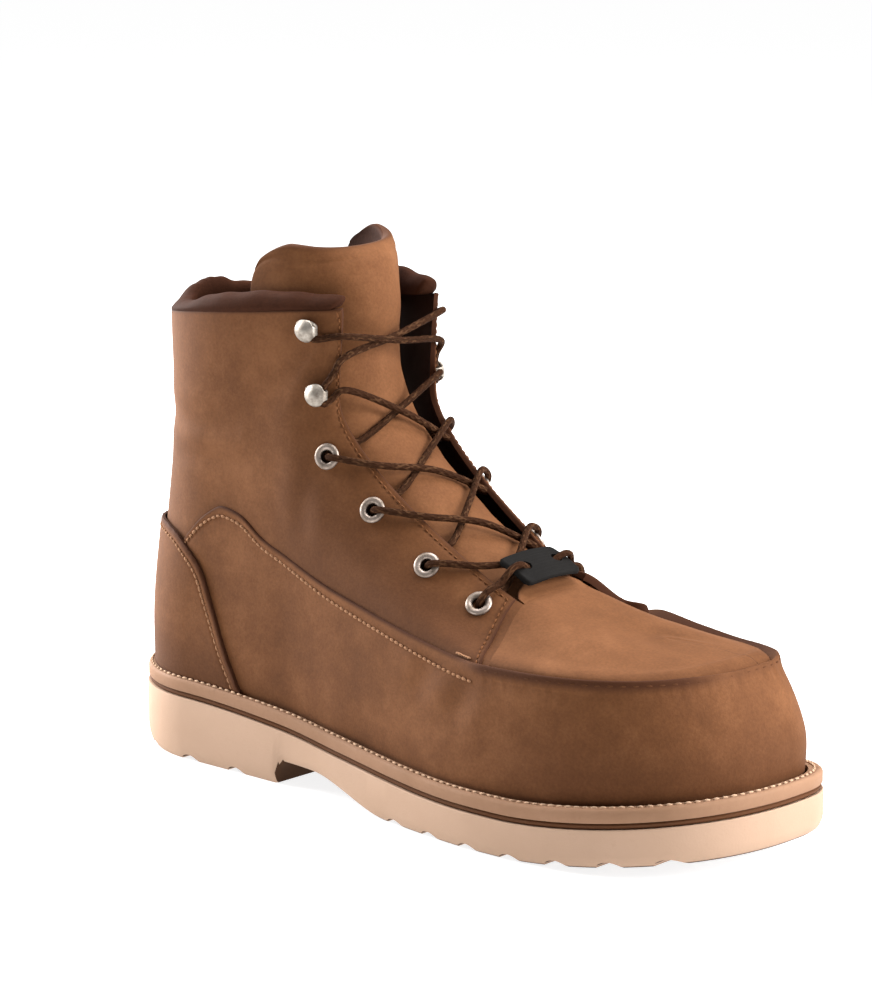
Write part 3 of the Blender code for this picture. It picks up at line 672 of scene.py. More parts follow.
@dataclass(frozen=True)
class Braid:
    """Round braided lace: crossing strands with paler flecks, from the sweep's own places."""

    name: str
    ground: Rgb
    fleck: Rgb
    strands: float = 5.0
    pitch: float = 0.0042

    def build(self) -> Material:
        """Makes the material."""
        shader = Shader(self.name)
        split = shader.node("ShaderNodeSeparateXYZ", Vector=shader.attribute("weave", "Vector"))
        around = shader.math("MULTIPLY", split.outputs["X"], self.strands)
        along = shader.math("DIVIDE", split.outputs["Y"], self.pitch)
        waves = []
        for kind in ("ADD", "SUBTRACT"):
            phase = shader.math("MULTIPLY", shader.math(kind, along, around), 2 * math.pi)
            waves.append(shader.math("SINE", phase))
        height = shader.span(shader.math("MAXIMUM", waves[0], waves[1]), -0.6, 1.0)
        cells = shader.node("ShaderNodeCombineXYZ", X=along, Y=around, Z=0.0).outputs["Vector"]
        flecks = shader.node("ShaderNodeTexVoronoi", Vector=cells, Scale=2.0).outputs["Color"]
        pick = shader.node("ShaderNodeSeparateColor", Color=flecks).outputs["Red"]
        share = shader.math("MULTIPLY", shader.span(pick, 0.62, 0.8), height)
        shader.set(Base_Color=shader.blend(share, self.ground, self.fleck), Roughness=0.85)
        shader.set(Specular_IOR_Level=0.05)
        shader.bump(height, 0.7, 0.0004)
        return shader.material


@dataclass(frozen=True)
class Glow:
    """A matt light table: a pale surface that also shines a little."""

    name: str
    colour: Rgb
    strength: float

    def build(self) -> Material:
        """Makes the material."""
        shader = Shader(self.name)
        shader.set(Base_Color=(*self.colour, 1.0), Roughness=0.95, Specular_IOR_Level=0.0)
        shader.set(Emission_Color=(1.0, 1.0, 1.0, 1.0), Emission_Strength=self.strength)
        return shader.material


class Finishes:
    """Every finish of the shoe, made once."""

    def __init__(self) -> None:
        """Makes the materials."""
        cut = (0.045, 0.014, 0.005)
        brown = ((0.07, 0.0245, 0.008), (0.122, 0.0465, 0.0165), (0.2, 0.083, 0.034))
        dark = ((0.02, 0.0068, 0.0033), (0.035, 0.0118, 0.0057), (0.054, 0.0185, 0.009))
        self.leather = Leather("brown_nubuck", *brown, cut).build()
        self.tongue = Leather("tongue_nubuck", *brown, cut).build()
        self.collar = Leather("collar_leather", *dark, cut, Grain.SOFT, 0.8, 0.05).build()
        lining = Plain("dark_lining", (0.024, 0.01, 0.006), (0.009, 0.005, 0.004), 0.85, 700.0)
        self.skin = [self.leather, lining.build()]
        rubber = ((0.43, 0.288, 0.203), (0.31, 0.196, 0.126))
        self.cream = Plain("cream_rubber", *rubber, 0.66, 1100.0, 0.00025, 0.2).build()
        # Painted shade: a dark brown finish for the outsole's downward faces and the heel breast's front
        # face.
        self.under = Plain("sole_underside_shade", (0.06, 0.028, 0.014), (0.03, 0.014, 0.007), 0.8, 1100.0).build()
        self.midsole = Plain("midsole_brown", (0.095, 0.038, 0.016), (0.05, 0.02, 0.008), 0.75).build()
        tan = ((0.28, 0.158, 0.096), (0.17, 0.09, 0.048))
        self.welt = Plain("welt_tan", *tan, 0.7, 900.0, 0.0003, 0.4).build()
        self.board = Plain("insole_board", (0.16, 0.1, 0.06), (0.08, 0.05, 0.03), 0.9, 500.0).build()
        self.thread = self.sewing("tan_thread", (0.29, 0.15, 0.08), (0.18, 0.085, 0.04))
        self.brown_thread = self.sewing("brown_thread", (0.15, 0.058, 0.022), (0.11, 0.042, 0.016))
        self.dark_thread = self.sewing("dark_thread", (0.07, 0.026, 0.01), (0.045, 0.016, 0.007))
        self.welt_thread = self.sewing("welt_thread", (0.5, 0.33, 0.22), (0.32, 0.185, 0.11))
        self.ring = Metal("antique_nickel", (0.36, 0.295, 0.255), (0.18, 0.14, 0.11), 0.44).build()
        self.hook = Metal("bright_nickel", (0.37, 0.33, 0.285), (0.18, 0.148, 0.12), 0.48).build()
        self.lace = Braid("lace_brown", (0.03, 0.0115, 0.005), (0.072, 0.033, 0.0155)).build()
        grey = ((0.0062, 0.0052, 0.0046), (0.004, 0.0034, 0.003))
        self.keeper = Plain("keeper_grey", *grey, 0.75, 1300.0).build()
        self.floor = Glow("pale_floor", (0.45, 0.45, 0.45), 0.85).build()

    @staticmethod
    def sewing(name: str, colour: Rgb, dark: Rgb) -> Material:
        """A thread's finish."""
        return Plain(name, colour, dark, 0.85, 2600.0).build()


# Meshes


def new_object(name: str, data: bpy.types.Mesh, materials: Iterable[Material]) -> Piece:
    """An object in the scene.

    Args:
        name: Its name.
        data: Its mesh.
        materials: Its material slots, in order.

    Returns:
        The object.
    """
    made = bpy.data.objects.new(name, data)
    for material in materials:
        data.materials.append(material)
    bpy.context.scene.collection.objects.link(made)
    return made


def attach(piece: Piece, slot: str | None, *nodes: str) -> Piece:
    """Makes a finished piece ride on the shoe and stand for CAD nodes.

    Args:
        piece: The finished piece.
        slot: Not used; the record's material slot, if it has one.
        nodes: CAD nodes that it stands for.

    Returns:
        The piece.
    """
    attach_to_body(piece, BODY)
    if nodes:
        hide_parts(*nodes)
    count, names = len(piece.data.polygons), ", ".join(nodes) or "nothing"
    LOG.info("%s: %d faces, stands for %s", piece.name, count, names)
    return piece


def settle(piece: Piece) -> Piece:
    """Makes a piece's modifiers part of its mesh, and removes them."""
    bpy.context.view_layer.update()
    evaluated = piece.evaluated_get(bpy.context.evaluated_depsgraph_get())
    old, data = piece.data, bpy.data.meshes.new_from_object(evaluated)
    piece.modifiers.clear()
    piece.data = data
    bpy.data.meshes.remove(old)
    return piece


def drill(piece: Piece, places: Iterable[Matrix], radius: float, depth: float, corners: int = 24) -> Piece:
    """Cuts round holes through a piece; their walls get its last finish.

    Args:
        piece: The piece.
        places: World matrix of each hole's middle, Z along the hole.
        radius: The holes' radius in millimetres.
        depth: Length of the rods that cut them, in millimetres.
        corners: Corners round a hole.

    Returns:
        The piece.
    """
    mesh = bmesh.new()
    size = {"radius1": radius * MM, "radius2": radius * MM, "depth": depth * MM}
    for matrix in places:
        bmesh.ops.create_cone(mesh, cap_ends=True, segments=corners, matrix=matrix, **size)
    data = bpy.data.meshes.new("rods")
    mesh.to_mesh(data)
    mesh.free()
    rods = new_object("rods", data, piece.data.materials[-1:])
    cut = piece.modifiers.new("holes", "BOOLEAN")
    cut.operation = "DIFFERENCE"
    cut.object = rods
    settle(piece)
    bpy.data.objects.remove(rods)
    return piece


def tube(name: str, rings: Sequence[Sequence[Array]], finish: Material, loop: bool) -> Piece:
    """A closed skin over rings of points.

    Args:
        name: Name of the object.
        rings: Rings of equally many points, in millimetres.
        finish: Its finish.
        loop: Whether the last ring joins the first; if it doesn't, a face closes each end.

    Returns:
        The object.
    """
    grid = np.array(rings)
    count, wide = grid.shape[:2]
    faces: list[tuple[int, ...]] = [
        (i * wide + j, i * wide + (j + 1) % wide, k * wide + (j + 1) % wide, k * wide + j)
        for i, k in ((i, (i + 1) % count) for i in range(count if loop else count - 1))
        for j in range(wide)
    ]
    if not loop:
        faces += [tuple(range(wide)), tuple(range((count - 1) * wide, count * wide))]
    data = bpy.data.meshes.new(name)
    data.from_pydata(to_metres(grid.reshape(-1, 3)).tolist(), [], faces)
    finish_mesh(data)
    return new_object(name, data, [finish])


@dataclass
class Sheet:
    """A panel as two grids of points in millimetres, outer and inner, joined round their borders."""

    outer: Array
    inner: Array
    edge: Array
    shade: Array
    ring: bool = False

    @classmethod
    def over(cls, wall: tuple[Array, Array], out: Array, under: Array | float, *more: object) -> Sheet:
        """A panel on a wall's points and normals, from how far out and in its sides lie."""
        points, normals = wall
        return cls(points + normals * out[..., None], points - normals * np.asarray(under)[..., None], *more)

    def build(self, name: str, materials: Sequence[Material], weld: float = 0.0) -> Piece:
        """Makes the panel.

        Args:
            name: Name of the object.
            materials: Outer finish and lining.
            weld: Distance in millimetres within which points are merged.

        Returns:
            The panel as a closed mesh.
        """
        columns, rows = self.outer.shape[:2]
        count = columns * rows
        verts = np.vstack([to_metres(grid.reshape(-1, 3)) for grid in (self.outer, self.inner)])
        index = np.arange(count).reshape(columns, rows)
        across = [(i, (i + 1) % columns) for i in range(columns if self.ring else columns - 1)]
        faces, kinds = [], []
        for i, k in across:
            for j in range(rows - 1):
                quad = (index[i, j], index[k, j], index[k, j + 1], index[i, j + 1])
                faces.append(quad)
                kinds.append(0)
                faces.append(tuple(int(v) + count for v in reversed(quad)))
                kinds.append(1)
        border = [(index[i, j], index[k, j]) for i, k in across for j in (0, rows - 1)]
        if not self.ring:
            border += [(index[i, j], index[i, j + 1]) for i in (0, columns - 1) for j in range(rows - 1)]
        for a, b in border:
            faces.append((a, b, b + count, a + count))
            kinds.append(0)
        data = bpy.data.meshes.new(name)
        data.from_pydata(verts.tolist(), [], [tuple(int(v) for v in face) for face in faces])
        data.polygons.foreach_set("material_index", kinds)
        # edge marks dyed cut edges; shade carries painted shade below 0 and painted light above 0.
        for label, grid in (("edge", self.edge), ("shade", self.shade)):
            values = np.concatenate([grid.ravel(), grid.ravel()]).astype(np.float32)
            data.attributes.new(label, "FLOAT", "POINT").data.foreach_set("value", values)
        finish_mesh(data, weld)
        return new_object(name, data, materials)


def finish_mesh(data: bpy.types.Mesh, weld: float = 0.0, angle: float = 50.0) -> None:
    """Merges doubles, points faces outwards and shades the mesh smoothly.

    Args:
        data: The mesh.
        weld: Distance in millimetres within which points are merged; 0 merges none.
        angle: Edges sharper than this stay sharp, in degrees.
    """
    mesh = bmesh.new()
    mesh.from_mesh(data)
    if weld:
        bmesh.ops.remove_doubles(mesh, verts=mesh.verts, dist=weld * MM)
    bmesh.ops.recalc_face_normals(mesh, faces=mesh.faces)
    mesh.to_mesh(data)
    mesh.free()
    data.shade_smooth()
    data.set_sharp_from_angle(angle=math.radians(angle))


def rounding(distance: Array, radius: float) -> Array:
    """How far a rounded edge drops, at a distance from the edge."""
    inside = np.clip(radius - distance, 0.0, radius)
    return radius - np.sqrt(radius**2 - inside**2)


def furrow(distance: Array, deep: float, spread: float = 0.8) -> Array:
    """Depth of the groove that a stitch row draws into the leather, at a distance from the row."""
    return deep * np.exp(-(distance**2) / spread)


class Swell(NamedTuple):
    """A soft ridge beside a line: its height, its distance from the line and its half-width."""

    height: float
    place: float
    width: float

    def at(self, distance: Array) -> Array:
        """Its height at a distance from the line."""
        return self.height * bell(distance - self.place, self.width)


class Fade(NamedTuple):
    """An amount that fades with distance, and the distance at which 1/e of it is left."""

    amount: float
    reach: float

    def at(self, distance: Array) -> Array:
        """What is left of it at a distance."""
        return self.amount * np.exp(-distance / self.reach)


def closing(turn: float, even: int, close: int) -> Array:
    """Shares from 0 to 1: some even ones up to the turn, then others closer and closer together."""
    tail = 1 - (1 - turn) * np.linspace(1.0, 0.0, close) ** 1.6
    return np.concatenate([np.linspace(0.0, turn, even, endpoint=False), tail])


def arc(points: Array, axis: int, from_end: bool = False) -> Array:
    """Distance along a grid's lines.

    Args:
        points: Grid of points.
        axis: 0 along the columns' order, 1 along the rows' order.
        from_end: Whether to count from the last point.

    Returns:
        The distance at each grid point.
    """
    steps = np.linalg.norm(np.diff(points, axis=axis), axis=-1)
    zero = np.zeros_like(np.take(steps, [0], axis=axis))
    run = np.concatenate([zero, np.cumsum(steps, axis=axis)], axis=axis)
    return np.take(run, [-1], axis=axis) - run if from_end else run


def to_border(points: Array, axis: int) -> Array:
    """Distance along a grid's lines to their nearer end; Args as arc()."""
    return np.minimum(arc(points, axis), arc(points, axis, from_end=True))


# Trees that repeat a shape or follow a path


class Tree(Nodes):
    """A Geometry Nodes tree with named inputs, run on a holder and left as a plain mesh."""

    KINDS = {float: "NodeSocketFloat", int: "NodeSocketInt", type(None): "NodeSocketMaterial"}

    def __init__(self, name: str, **sizes: float) -> None:
        """Starts the tree.

        Args:
            name: Its name.
            sizes: Default value of each named input, next to the finish.
        """
        super().__init__(bpy.data.node_groups.new(name, "GeometryNodeTree"))
        face = self.tree.interface
        face.new_socket("Geometry", in_out="INPUT", socket_type="NodeSocketGeometry")
        face.new_socket("Geometry", in_out="OUTPUT", socket_type="NodeSocketGeometry")
        self.keys: dict[str, str] = {}
        for label, default in {**sizes, "Finish": None}.items():
            socket = face.new_socket(label, in_out="INPUT", socket_type=self.KINDS[type(default)])
            if default is not None:
                socket.default_value = default
            self.keys[label] = socket.identifier
        self.start = self.tree.nodes.new("NodeGroupInput")
        self.end = self.tree.nodes.new("NodeGroupOutput")

    def given(self, label: str) -> Socket:
        """One of the tree's inputs."""
        return self.start.outputs[label]

    def even_path(self, step: str) -> bpy.types.Node:
        """The holder's paths as curves with even points; step names the input with their distance."""
        curve = self.node("GeometryNodeMeshToCurve", Mesh=self.given("Geometry"))
        mode = {"mode": "LENGTH"}
        return self.node("GeometryNodeResampleCurve", mode, Curve=curve.outputs[0], Length=self.given(step))

    def close(self, geometry: Socket) -> None:
        """Ends the tree: real instances, smooth faces, the finish."""
        real = self.node("GeometryNodeRealizeInstances", Geometry=geometry)
        soft = self.node("GeometryNodeSetShadeSmooth", Geometry=real.outputs[0])
        done = self.node("GeometryNodeSetMaterial", Geometry=soft.outputs[0], Material=self.given("Finish"))
        self.tree.links.new(done.outputs[0], self.end.inputs[0])

    def run(self, holder: Piece, **values: object) -> Piece:
        """Runs the tree on an object.

        Args:
            holder: The object with the path or points.
            values: Values for the tree's inputs, by name.

        Returns:
            The same object, as a plain mesh.
        """
        modifier = holder.modifiers.new(self.tree.name, "NODES")
        modifier.node_group = self.tree
        for label, value in values.items():
            modifier[self.keys[label]] = value
        settle(holder)
        return holder


def paths_holder(name: str, paths: Sequence[Array]) -> Piece:
    """An object whose mesh is open paths, for a tree to follow; paths are in millimetres."""
    verts: list[list[float]] = []
    edges: list[tuple[int, int]] = []
    for path in paths:
        first = len(verts)
        verts += to_metres(path).tolist()
        edges += [(i, i + 1) for i in range(first, len(verts) - 1)]
    data = bpy.data.meshes.new(name)
    data.from_pydata(verts, edges, [])
    return new_object(name, data, [])


class Threads:
    """Rows of stitches: one small rounded stitch repeated along each path."""

    SEED = 7
    VARY = (0.88, 1.08)

    def __init__(self) -> None:
        """Builds the tree."""
        tree = Tree("stitch_rows", Pitch=0.0032, Length=0.0024, Thickness=0.0008, Seed=self.SEED)
        beads = tree.even_path("Pitch")
        ball = tree.node("GeometryNodeMeshUVSphere", Segments=6, Rings=5, Radius=0.5)
        thick = tree.given("Thickness")
        size = tree.node("ShaderNodeCombineXYZ", X=tree.given("Length"), Y=thick, Z=thick)
        stitch = tree.node("GeometryNodeTransform", Geometry=ball.outputs["Mesh"], Scale=size.outputs[0])
        way = tree.node("GeometryNodeInputTangent")
        turn = tree.node("FunctionNodeAlignRotationToVector", {"axis": "X"}, Vector=way.outputs[0])
        vary = tree.node("FunctionNodeRandomValue", {"data_type": "FLOAT"}, Seed=tree.given("Seed"))
        for socket, value in zip(vary.inputs[2:4], self.VARY):
            socket.default_value = value
        row = tree.node(
            "GeometryNodeInstanceOnPoints",
            Points=beads.outputs[0],
            Instance=stitch.outputs[0],
            Rotation=turn.outputs[0],
            Scale=vary.outputs[1],
        )
        tree.close(row.outputs[0])
        self.tree = tree

    def sew(
        self, name: str, paths: Sequence[Array], finish: Material, pitch: float, length: float, thick: float
    ) -> Piece:
        """Stitches along paths.

        Args:
            name: Name of the piece.
            paths: The rows, in millimetres.
            finish: The thread's finish.
            pitch: From stitch to stitch.
            length: Length of a stitch.
            thick: Its thickness.

        Returns:
            The stitches as one piece.
        """
        holder = paths_holder(name, paths)
        values = {"Pitch": pitch * MM, "Length": length * MM, "Thickness": thick * MM}
        return self.tree.run(holder, Finish=finish, Seed=self.SEED, **values)


# The sole


@dataclass
class Sole:
    """Outsole, midsole and welt."""

    last: Last
    finishes: Finishes
    threads: Threads
    stops_a_side: int = 170
    side_rings: Pairs = (
        (2.6, 0.0), (1.6, 0.04), (0.9, 0.11), (0.35, 0.2), (0.0, 0.32), (0.0, 0.97), (0.3, 1.0)
    )
    channel_radius: float = 6.0
    channel_depth: float = 2.4
    channel_reach: float = 160.0
    channel_corners: int = 48
    channels: tuple[float, ...] = (22.0, 48.0, 74.0, 168.0, 188.0, 208.0, 228.0, 248.0, 268.0, 287.0)
    sharp: float = 32.0
    midsole_round: float = 0.5
    midsole_inset: float = 0.8
    welt_height: float = 5.3
    welt_inset: float = 0.4
    welt_play: float = 1.4
    stitch_line: float = 0.58
    # Where the heel breast's front face lies, in metres, for the painted-shade underside finish.
    breast: float = -0.056
    breast_reach: float = 0.006

    def stops(self) -> list[float]:
        """Stations along one side."""
        return [float(p) for p in np.linspace(0.0, 1.0, self.stops_a_side)]

    def plate(self, name: str, layers: Sequence[tuple[float, Height]], finish: Material) -> Piece:
        """A closed plate.

        Args:
            name: Name of the piece.
            layers: Inset and height of each layer, from the lowest up.
            finish: Its finish.

        Returns:
            The plate, with strips across its top and bottom.
        """
        stops = self.stops()
        mesh = bmesh.new()
        walls = []
        for layer in layers:
            outer = [mesh.verts.new(to_metres(self.on_outline(-p, *layer))) for p in stops]
            inner = [mesh.verts.new(to_metres(self.on_outline(p, *layer))) for p in stops[1:-1]]
            walls.append((outer, [outer[0], *inner, outer[-1]]))
        for low, high in zip(walls, walls[1:]):
            for a, b in zip(low, high):
                for i in range(len(stops) - 1):
                    mesh.faces.new((a[i], a[i + 1], b[i + 1], b[i]))
        for a, b in (walls[0], walls[-1]):
            for i in range(len(stops) - 1):
                mesh.faces.new(list(dict.fromkeys((a[i], a[i + 1], b[i + 1], b[i]))))
        data = bpy.data.meshes.new(name)
        mesh.to_mesh(data)
        mesh.free()
        finish_mesh(data, angle=self.sharp)
        return new_object(name, data, [finish])

    def on_outline(self, q: float, inset: float, height: Height) -> Array:
        """A point moved in from the outline, at a height that depends on its x."""
        at = self.last.outline(q, inset)
        at[2] = height(at[0])
        return at

    def side_height(self, x: float, share: float) -> float:
        """Height at a share of the way from the outsole's underside to its top."""
        floor = self.last.floor_line(x)
        return floor + (self.last.seat(x) - self.last.MIDSOLE / 2 - GAP - floor) * share

    def build_outsole(self) -> Piece:
        """Cream sole with rounded lower edge and half-round cross channels."""
        layers = [(inset, lambda x, up=up: self.side_height(x, up)) for inset, up in self.side_rings]
        piece = self.plate("sole_cream", layers, self.finishes.cream)
        lying = Matrix.Rotation(math.pi / 2, 4, "X")
        rods = []
        for x in self.channels:
            centre = np.array((x, 0.0, self.last.floor_line(x) + self.channel_depth - self.channel_radius))
            rods.append(Matrix.Translation(to_metres(centre)) @ lying)
        drill(piece, rods, self.channel_radius, self.channel_reach, self.channel_corners)
        piece.data.shade_smooth()
        piece.data.set_sharp_from_angle(angle=math.radians(self.sharp))
        # Painted shade: downward faces and the heel breast's front face get the dark underside finish.
        piece.data.materials.append(self.finishes.under)
        for face in piece.data.polygons:
            front = face.normal.x > 0.45 and abs(face.center.x - self.breast) < self.breast_reach
            if face.normal.z < -0.75 or front:
                face.material_index = 1
        return piece

    def build_midsole(self) -> Piece:
        """Thin dark plate between outsole and welt."""
        half, edge = self.last.MIDSOLE / 2, self.midsole_round
        heights = ((edge, -half), (0.0, -half + edge), (0.0, half - edge), (edge, half))
        inset = self.midsole_inset
        layers = [(inset + more, lambda x, up=up: self.last.seat(x) + up) for more, up in heights]
        return self.plate("midsole_line", layers, self.finishes.midsole)

    def welt_point(self, q: float, inset: float, up: float) -> Array:
        """A point of the welt, in from the outline and up from the midsole."""
        return self.on_outline(q, inset, lambda x: self.last.seat(x) + self.last.FOOT_BASE + up)

    def welt_lines(self, q: float) -> tuple[float, float]:
        """Insets of the welt's stitch line and of its inner edge."""
        inner = self.last.ledge_at(abs(q)) - self.welt_play
        return self.welt_inset + (inner - self.welt_inset) * self.stitch_line, inner

    def build_welt(self) -> Piece:
        """Tan strip with rounded edges and a shallow groove for its stitches."""
        stops = self.stops()
        edge, high = self.welt_inset, self.welt_height
        rings = []
        for q in [-p for p in reversed(stops)] + stops[1:-1]:
            seam, inner = self.welt_lines(q)
            section = (
                (edge + 0.3, 0.0), (edge, 0.4), (edge, high - 1.5), (edge + 0.25, high - 0.75),
                (edge + 0.85, high - 0.2), (edge + 1.5, high), (seam - 0.7, high), (seam, high - 0.4),
                (seam + 0.7, high), (inner, high), (inner, 0.0),
            )
            rings.append([self.welt_point(q, inset, up) for inset, up in section])
        return tube("welt_strip", rings, self.finishes.welt, loop=True)

    def build_stitches(self) -> Piece:
        """Stitches in the welt's groove, right round the shoe."""
        qs = [float(q) for q in np.linspace(-1.0, 1.0, 520)]
        path = np.array([self.welt_point(q, self.welt_lines(q)[0], self.welt_height + 0.05) for q in qs])
        return self.threads.sew("welt_stitches", [path], self.finishes.welt_thread, 3.4, 2.7, 1.15)

    def build(self) -> None:
        """Makes the sole's pieces and attaches them."""
        attach(self.build_outsole(), "cream_rubber", "outsole")
        attach(self.build_midsole(), "midsole_brown", "midsole")
        attach(self.build_welt(), "welt_tan", "welt")
        attach(self.build_stitches(), "welt_tan")


# The upper


class Crease(NamedTuple):
    """A soft trough on both sides' walls: its two ends, its width and depth in millimetres."""

    q0: float
    level0: float
    q1: float
    level1: float
    wide: float
    deep: float


class Hole(NamedTuple):
    """Place of a lace hole on the wall."""

    q: float
    level: float


HOOKS = (Hole(0.322, 3.84), Hole(0.425, 3.46))
EYELETS = (Hole(0.488, 3.45), Hole(0.534, 3.48), Hole(0.572, 3.44), Hole(0.608, 3.49))
HOLES = (*HOOKS, *EYELETS)


@dataclass
class Upper:
    """Vamp, quarters, plug and heel counter, with their stitches."""

    last: Last
    finishes: Finishes
    threads: Threads
    wall: float = 3.0
    quarter_step: float = 0.9
    plug_step: float = 1.6
    quarter_front: float = 0.63
    seam_rise: float = 2.4
    inner_rise: float = 1.8
    inner_end: tuple[float, float] = (0.62, 0.7)
    toe_tip: tuple[float, float] = (0.86, 0.97)
    front_lift: float = 3.4
    lift_from: float = 0.605
    lap: float = 0.2
    level_mm: float = 40.0
    plug_foot: tuple[float, float] = (1.93, 1.97)
    plug_sag: float = 1.8
    ridge_passes: int = 12
    seam_start: float = 0.6
    edge_steps: tuple[float, ...] = (4.0, 2.8, 1.9, 1.2, 0.75, 0.4, 0.15, 0.0)
    edge_round: float = 0.8
    lip_width: float = 3.2
    gather: Swell = Swell(0.16, 4.5, 3.0)
    gather_pitch: float = 4.6
    # Where the dark band on the moc seam's lip, partly painted shade, fades out towards the toe's tip: inner
    # side, then outer side.
    band_fade_inner: tuple[float, float] = (0.8, 0.92)
    band_fade_outer: tuple[float, float] = (0.85, 0.94)
    row_depth: float = 0.35
    # Painted highlight in a band just below the vamp's edge.
    rim_highlight: Swell = Swell(0.3, 2.2, 0.9)
    # Painted shade on the vamp at its foot, beside the welt.
    foot_shade: Fade = Fade(-0.55, 7.0)
    # Painted shade on the quarters along the vamp's edge.
    vamp_seam_shade: Fade = Fade(0.5, 5.0)
    # Painted shade on the quarters along their top and front edges.
    quarter_edge_shade: Fade = Fade(0.2, 5.0)
    back_seam: float = 0.9
    plug_crown: Swell = Swell(0.3, 9.0, 6.0)
    plug_fold: Swell = Swell(0.6, 8.0, 2.2)
    plug_dip: Swell = Swell(-1.1, 0.0, 2.6)
    plug_tip: Fade = Fade(1.2, 12.0)
    # Painted shade on the plug beside the moc seam.
    moc_seam_shade: Fade = Fade(-0.6, 3.0)
    # Painted shade on the plug's tails, darkest at their foot.
    tail_shade: Fade = Fade(-0.6, 4.0)
    throat_row: float = 2.8
    counter_row: float = 3.6
    hole_radius: float = 2.7
    punch_depth: float = 14.0
    counter_thick: float = 1.3
    counter_foot: float = 0.2
    # Painted highlight in a band inside the counter's edge.
    counter_rim_highlight: Swell = Swell(0.3, 2.4, 0.9)
    # Painted shade low on the counter, near the sole.
    counter_foot_shade: Swell = Swell(-1.0, 0.0, 19.0)
    counter_edge: Pairs = (
        (0.0, 1.93), (0.1, 1.87), (0.16, 1.77), (0.2, 1.63), (0.23, 1.49), (0.26, 1.26),
        (0.28, 1.04), (0.3, 0.55), (0.311, 0.26),
    )
    creases: tuple[Crease, ...] = (
        Crease(0.06, 3.0, 0.3, 2.86, 5.0, 0.9),
        Crease(0.12, 2.6, 0.33, 2.52, 4.0, 0.6),
        Crease(0.56, 1.15, 0.585, 1.85, 5.0, 0.7),
        Crease(0.6, 1.05, 0.63, 1.75, 5.0, 0.8),
        Crease(0.43, 2.2, 0.47, 3.1, 5.0, 0.6),
    )
    vamp_line: Pairs = (
        (0.0, 1.5), (0.12, 1.5), (0.175, 1.62), (0.193, 1.76), (0.219, 1.94),
        (0.249, 2.055), (0.288, 2.06), (0.356, 2.007), (0.43, 2.0), (1.0, 2.0),
    )
    tab_length: float = 10.0
    tab_half: float = 19.0
    tab_round: float = 20.5
    tab_way: tuple[float, float, float] = (-1.0, 0.0, 0.5)

    def patch(self, qs: Array, levels: Array) -> tuple[Array, Array]:
        """Grids of the wall's points and normals, from each column's place and its rows' levels."""
        find = (self.last.rib, self.last.normals)
        return tuple(np.array([grid(float(q), row) for q, row in zip(qs, levels)]) for grid in find)

    def rows_to_edge(self, q: float, low: float, high: float, count: int) -> Array:
        """Levels of the column at q from low to high: count even rows, then closer ones near its edge."""
        near = high - np.array(self.edge_steps) / self.last.rib_speed(q, high)
        return np.concatenate([np.linspace(low, near[0], count, endpoint=False), near])

    def troughs(self, points: Array) -> Array:
        """Depth of the creases and of slow waves in the leather.

        Args:
            points: Grid of points on the wall.

        Returns:
            Height over the wall at each point; troughs are below 0.
        """
        flat = points.reshape(-1, 3)
        height = np.zeros(len(flat))
        shares = np.linspace(0.0, 1.0, 30)
        for crease, side in ((crease, side) for crease in self.creases for side in (-1, 1)):
            qs = side * (crease.q0 + (crease.q1 - crease.q0) * shares)
            levels = crease.level0 + (crease.level1 - crease.level0) * shares
            line = self.row(zip(qs, levels), 0.0)
            gaps = np.linalg.norm(flat[:, None, :] - line[None, :, :], axis=2)
            nearest = gaps.argmin(axis=1)
            gap = gaps.min(axis=1) / crease.wide
            fade = np.sin(math.pi * shares[nearest])
            height += crease.deep * fade * (0.45 * np.exp(-((gap - 1.9) ** 2)) - np.exp(-(gap**2)))
        x, y, z = flat.T
        waves = np.sin(x / 19 + z / 31) * np.sin(z / 23 - y / 17 + 1.3)
        waves = waves + 0.6 * np.sin(x / 11 - z / 14 + y / 29)
        return (height + 0.22 * waves).reshape(points.shape[:2])

    def vamp_edge(self, q: float) -> float:
        """Level of the vamp's upper edge: it peaks beside the heel and dips under the counter."""
        return table(self.vamp_line, abs(q))

    def build_vamp(self) -> Piece:
        """Lower panel right round the shoe; at the toe its edge stands up as the moc seam's lip."""
        half = np.linspace(0.0, 1.0, 220, endpoint=False)
        qs = np.concatenate([-1.0 + half, half])
        levels = np.array([self.rows_to_edge(q, 0.0, self.vamp_edge(q), 34) for q in qs])
        wall = self.patch(qs, levels)
        points = wall[0]
        from_top = arc(points, 1, from_end=True)
        toe = smooth(self.seam_start, AT.ball, np.abs(qs))[:, None]
        along = arc(points[:, -1:], 0)
        lip = bell(from_top, self.lip_width)
        gather = np.cos(2 * math.pi * along / self.gather_pitch) * self.gather.at(from_top)
        row = furrow(from_top - self.row_gap(qs)[:, None], self.row_depth) * (1 - toe)
        rise = self.lip_height(qs)[:, None]
        out = self.troughs(points) * (1 - lip) + toe * (rise * lip + gather) - row
        out -= rounding(from_top, self.edge_round)
        lapped = levels > levels[:, -1:] - self.lap - 0.02
        depth = np.where(lapped, self.quarter_step - 0.05, self.wall)
        depth = np.maximum(depth, toe * lapped * (self.plug_step + 2.0))
        # The dark band on the moc seam's lip is its dyed cut edge together with painted shade on the lip's
        # face; it fades towards the toe's tip, sooner on the inner side.
        uneven = 1 - 0.75 * np.where(qs > 0, smooth(*self.band_fade_inner, qs), smooth(*self.band_fade_outer, -qs))
        band = 0.9 * toe * uneven[:, None] * (1 - smooth(2.0, 4.2, from_top))
        edge = np.maximum(bell(from_top, 1.2) * (1 - toe), band)
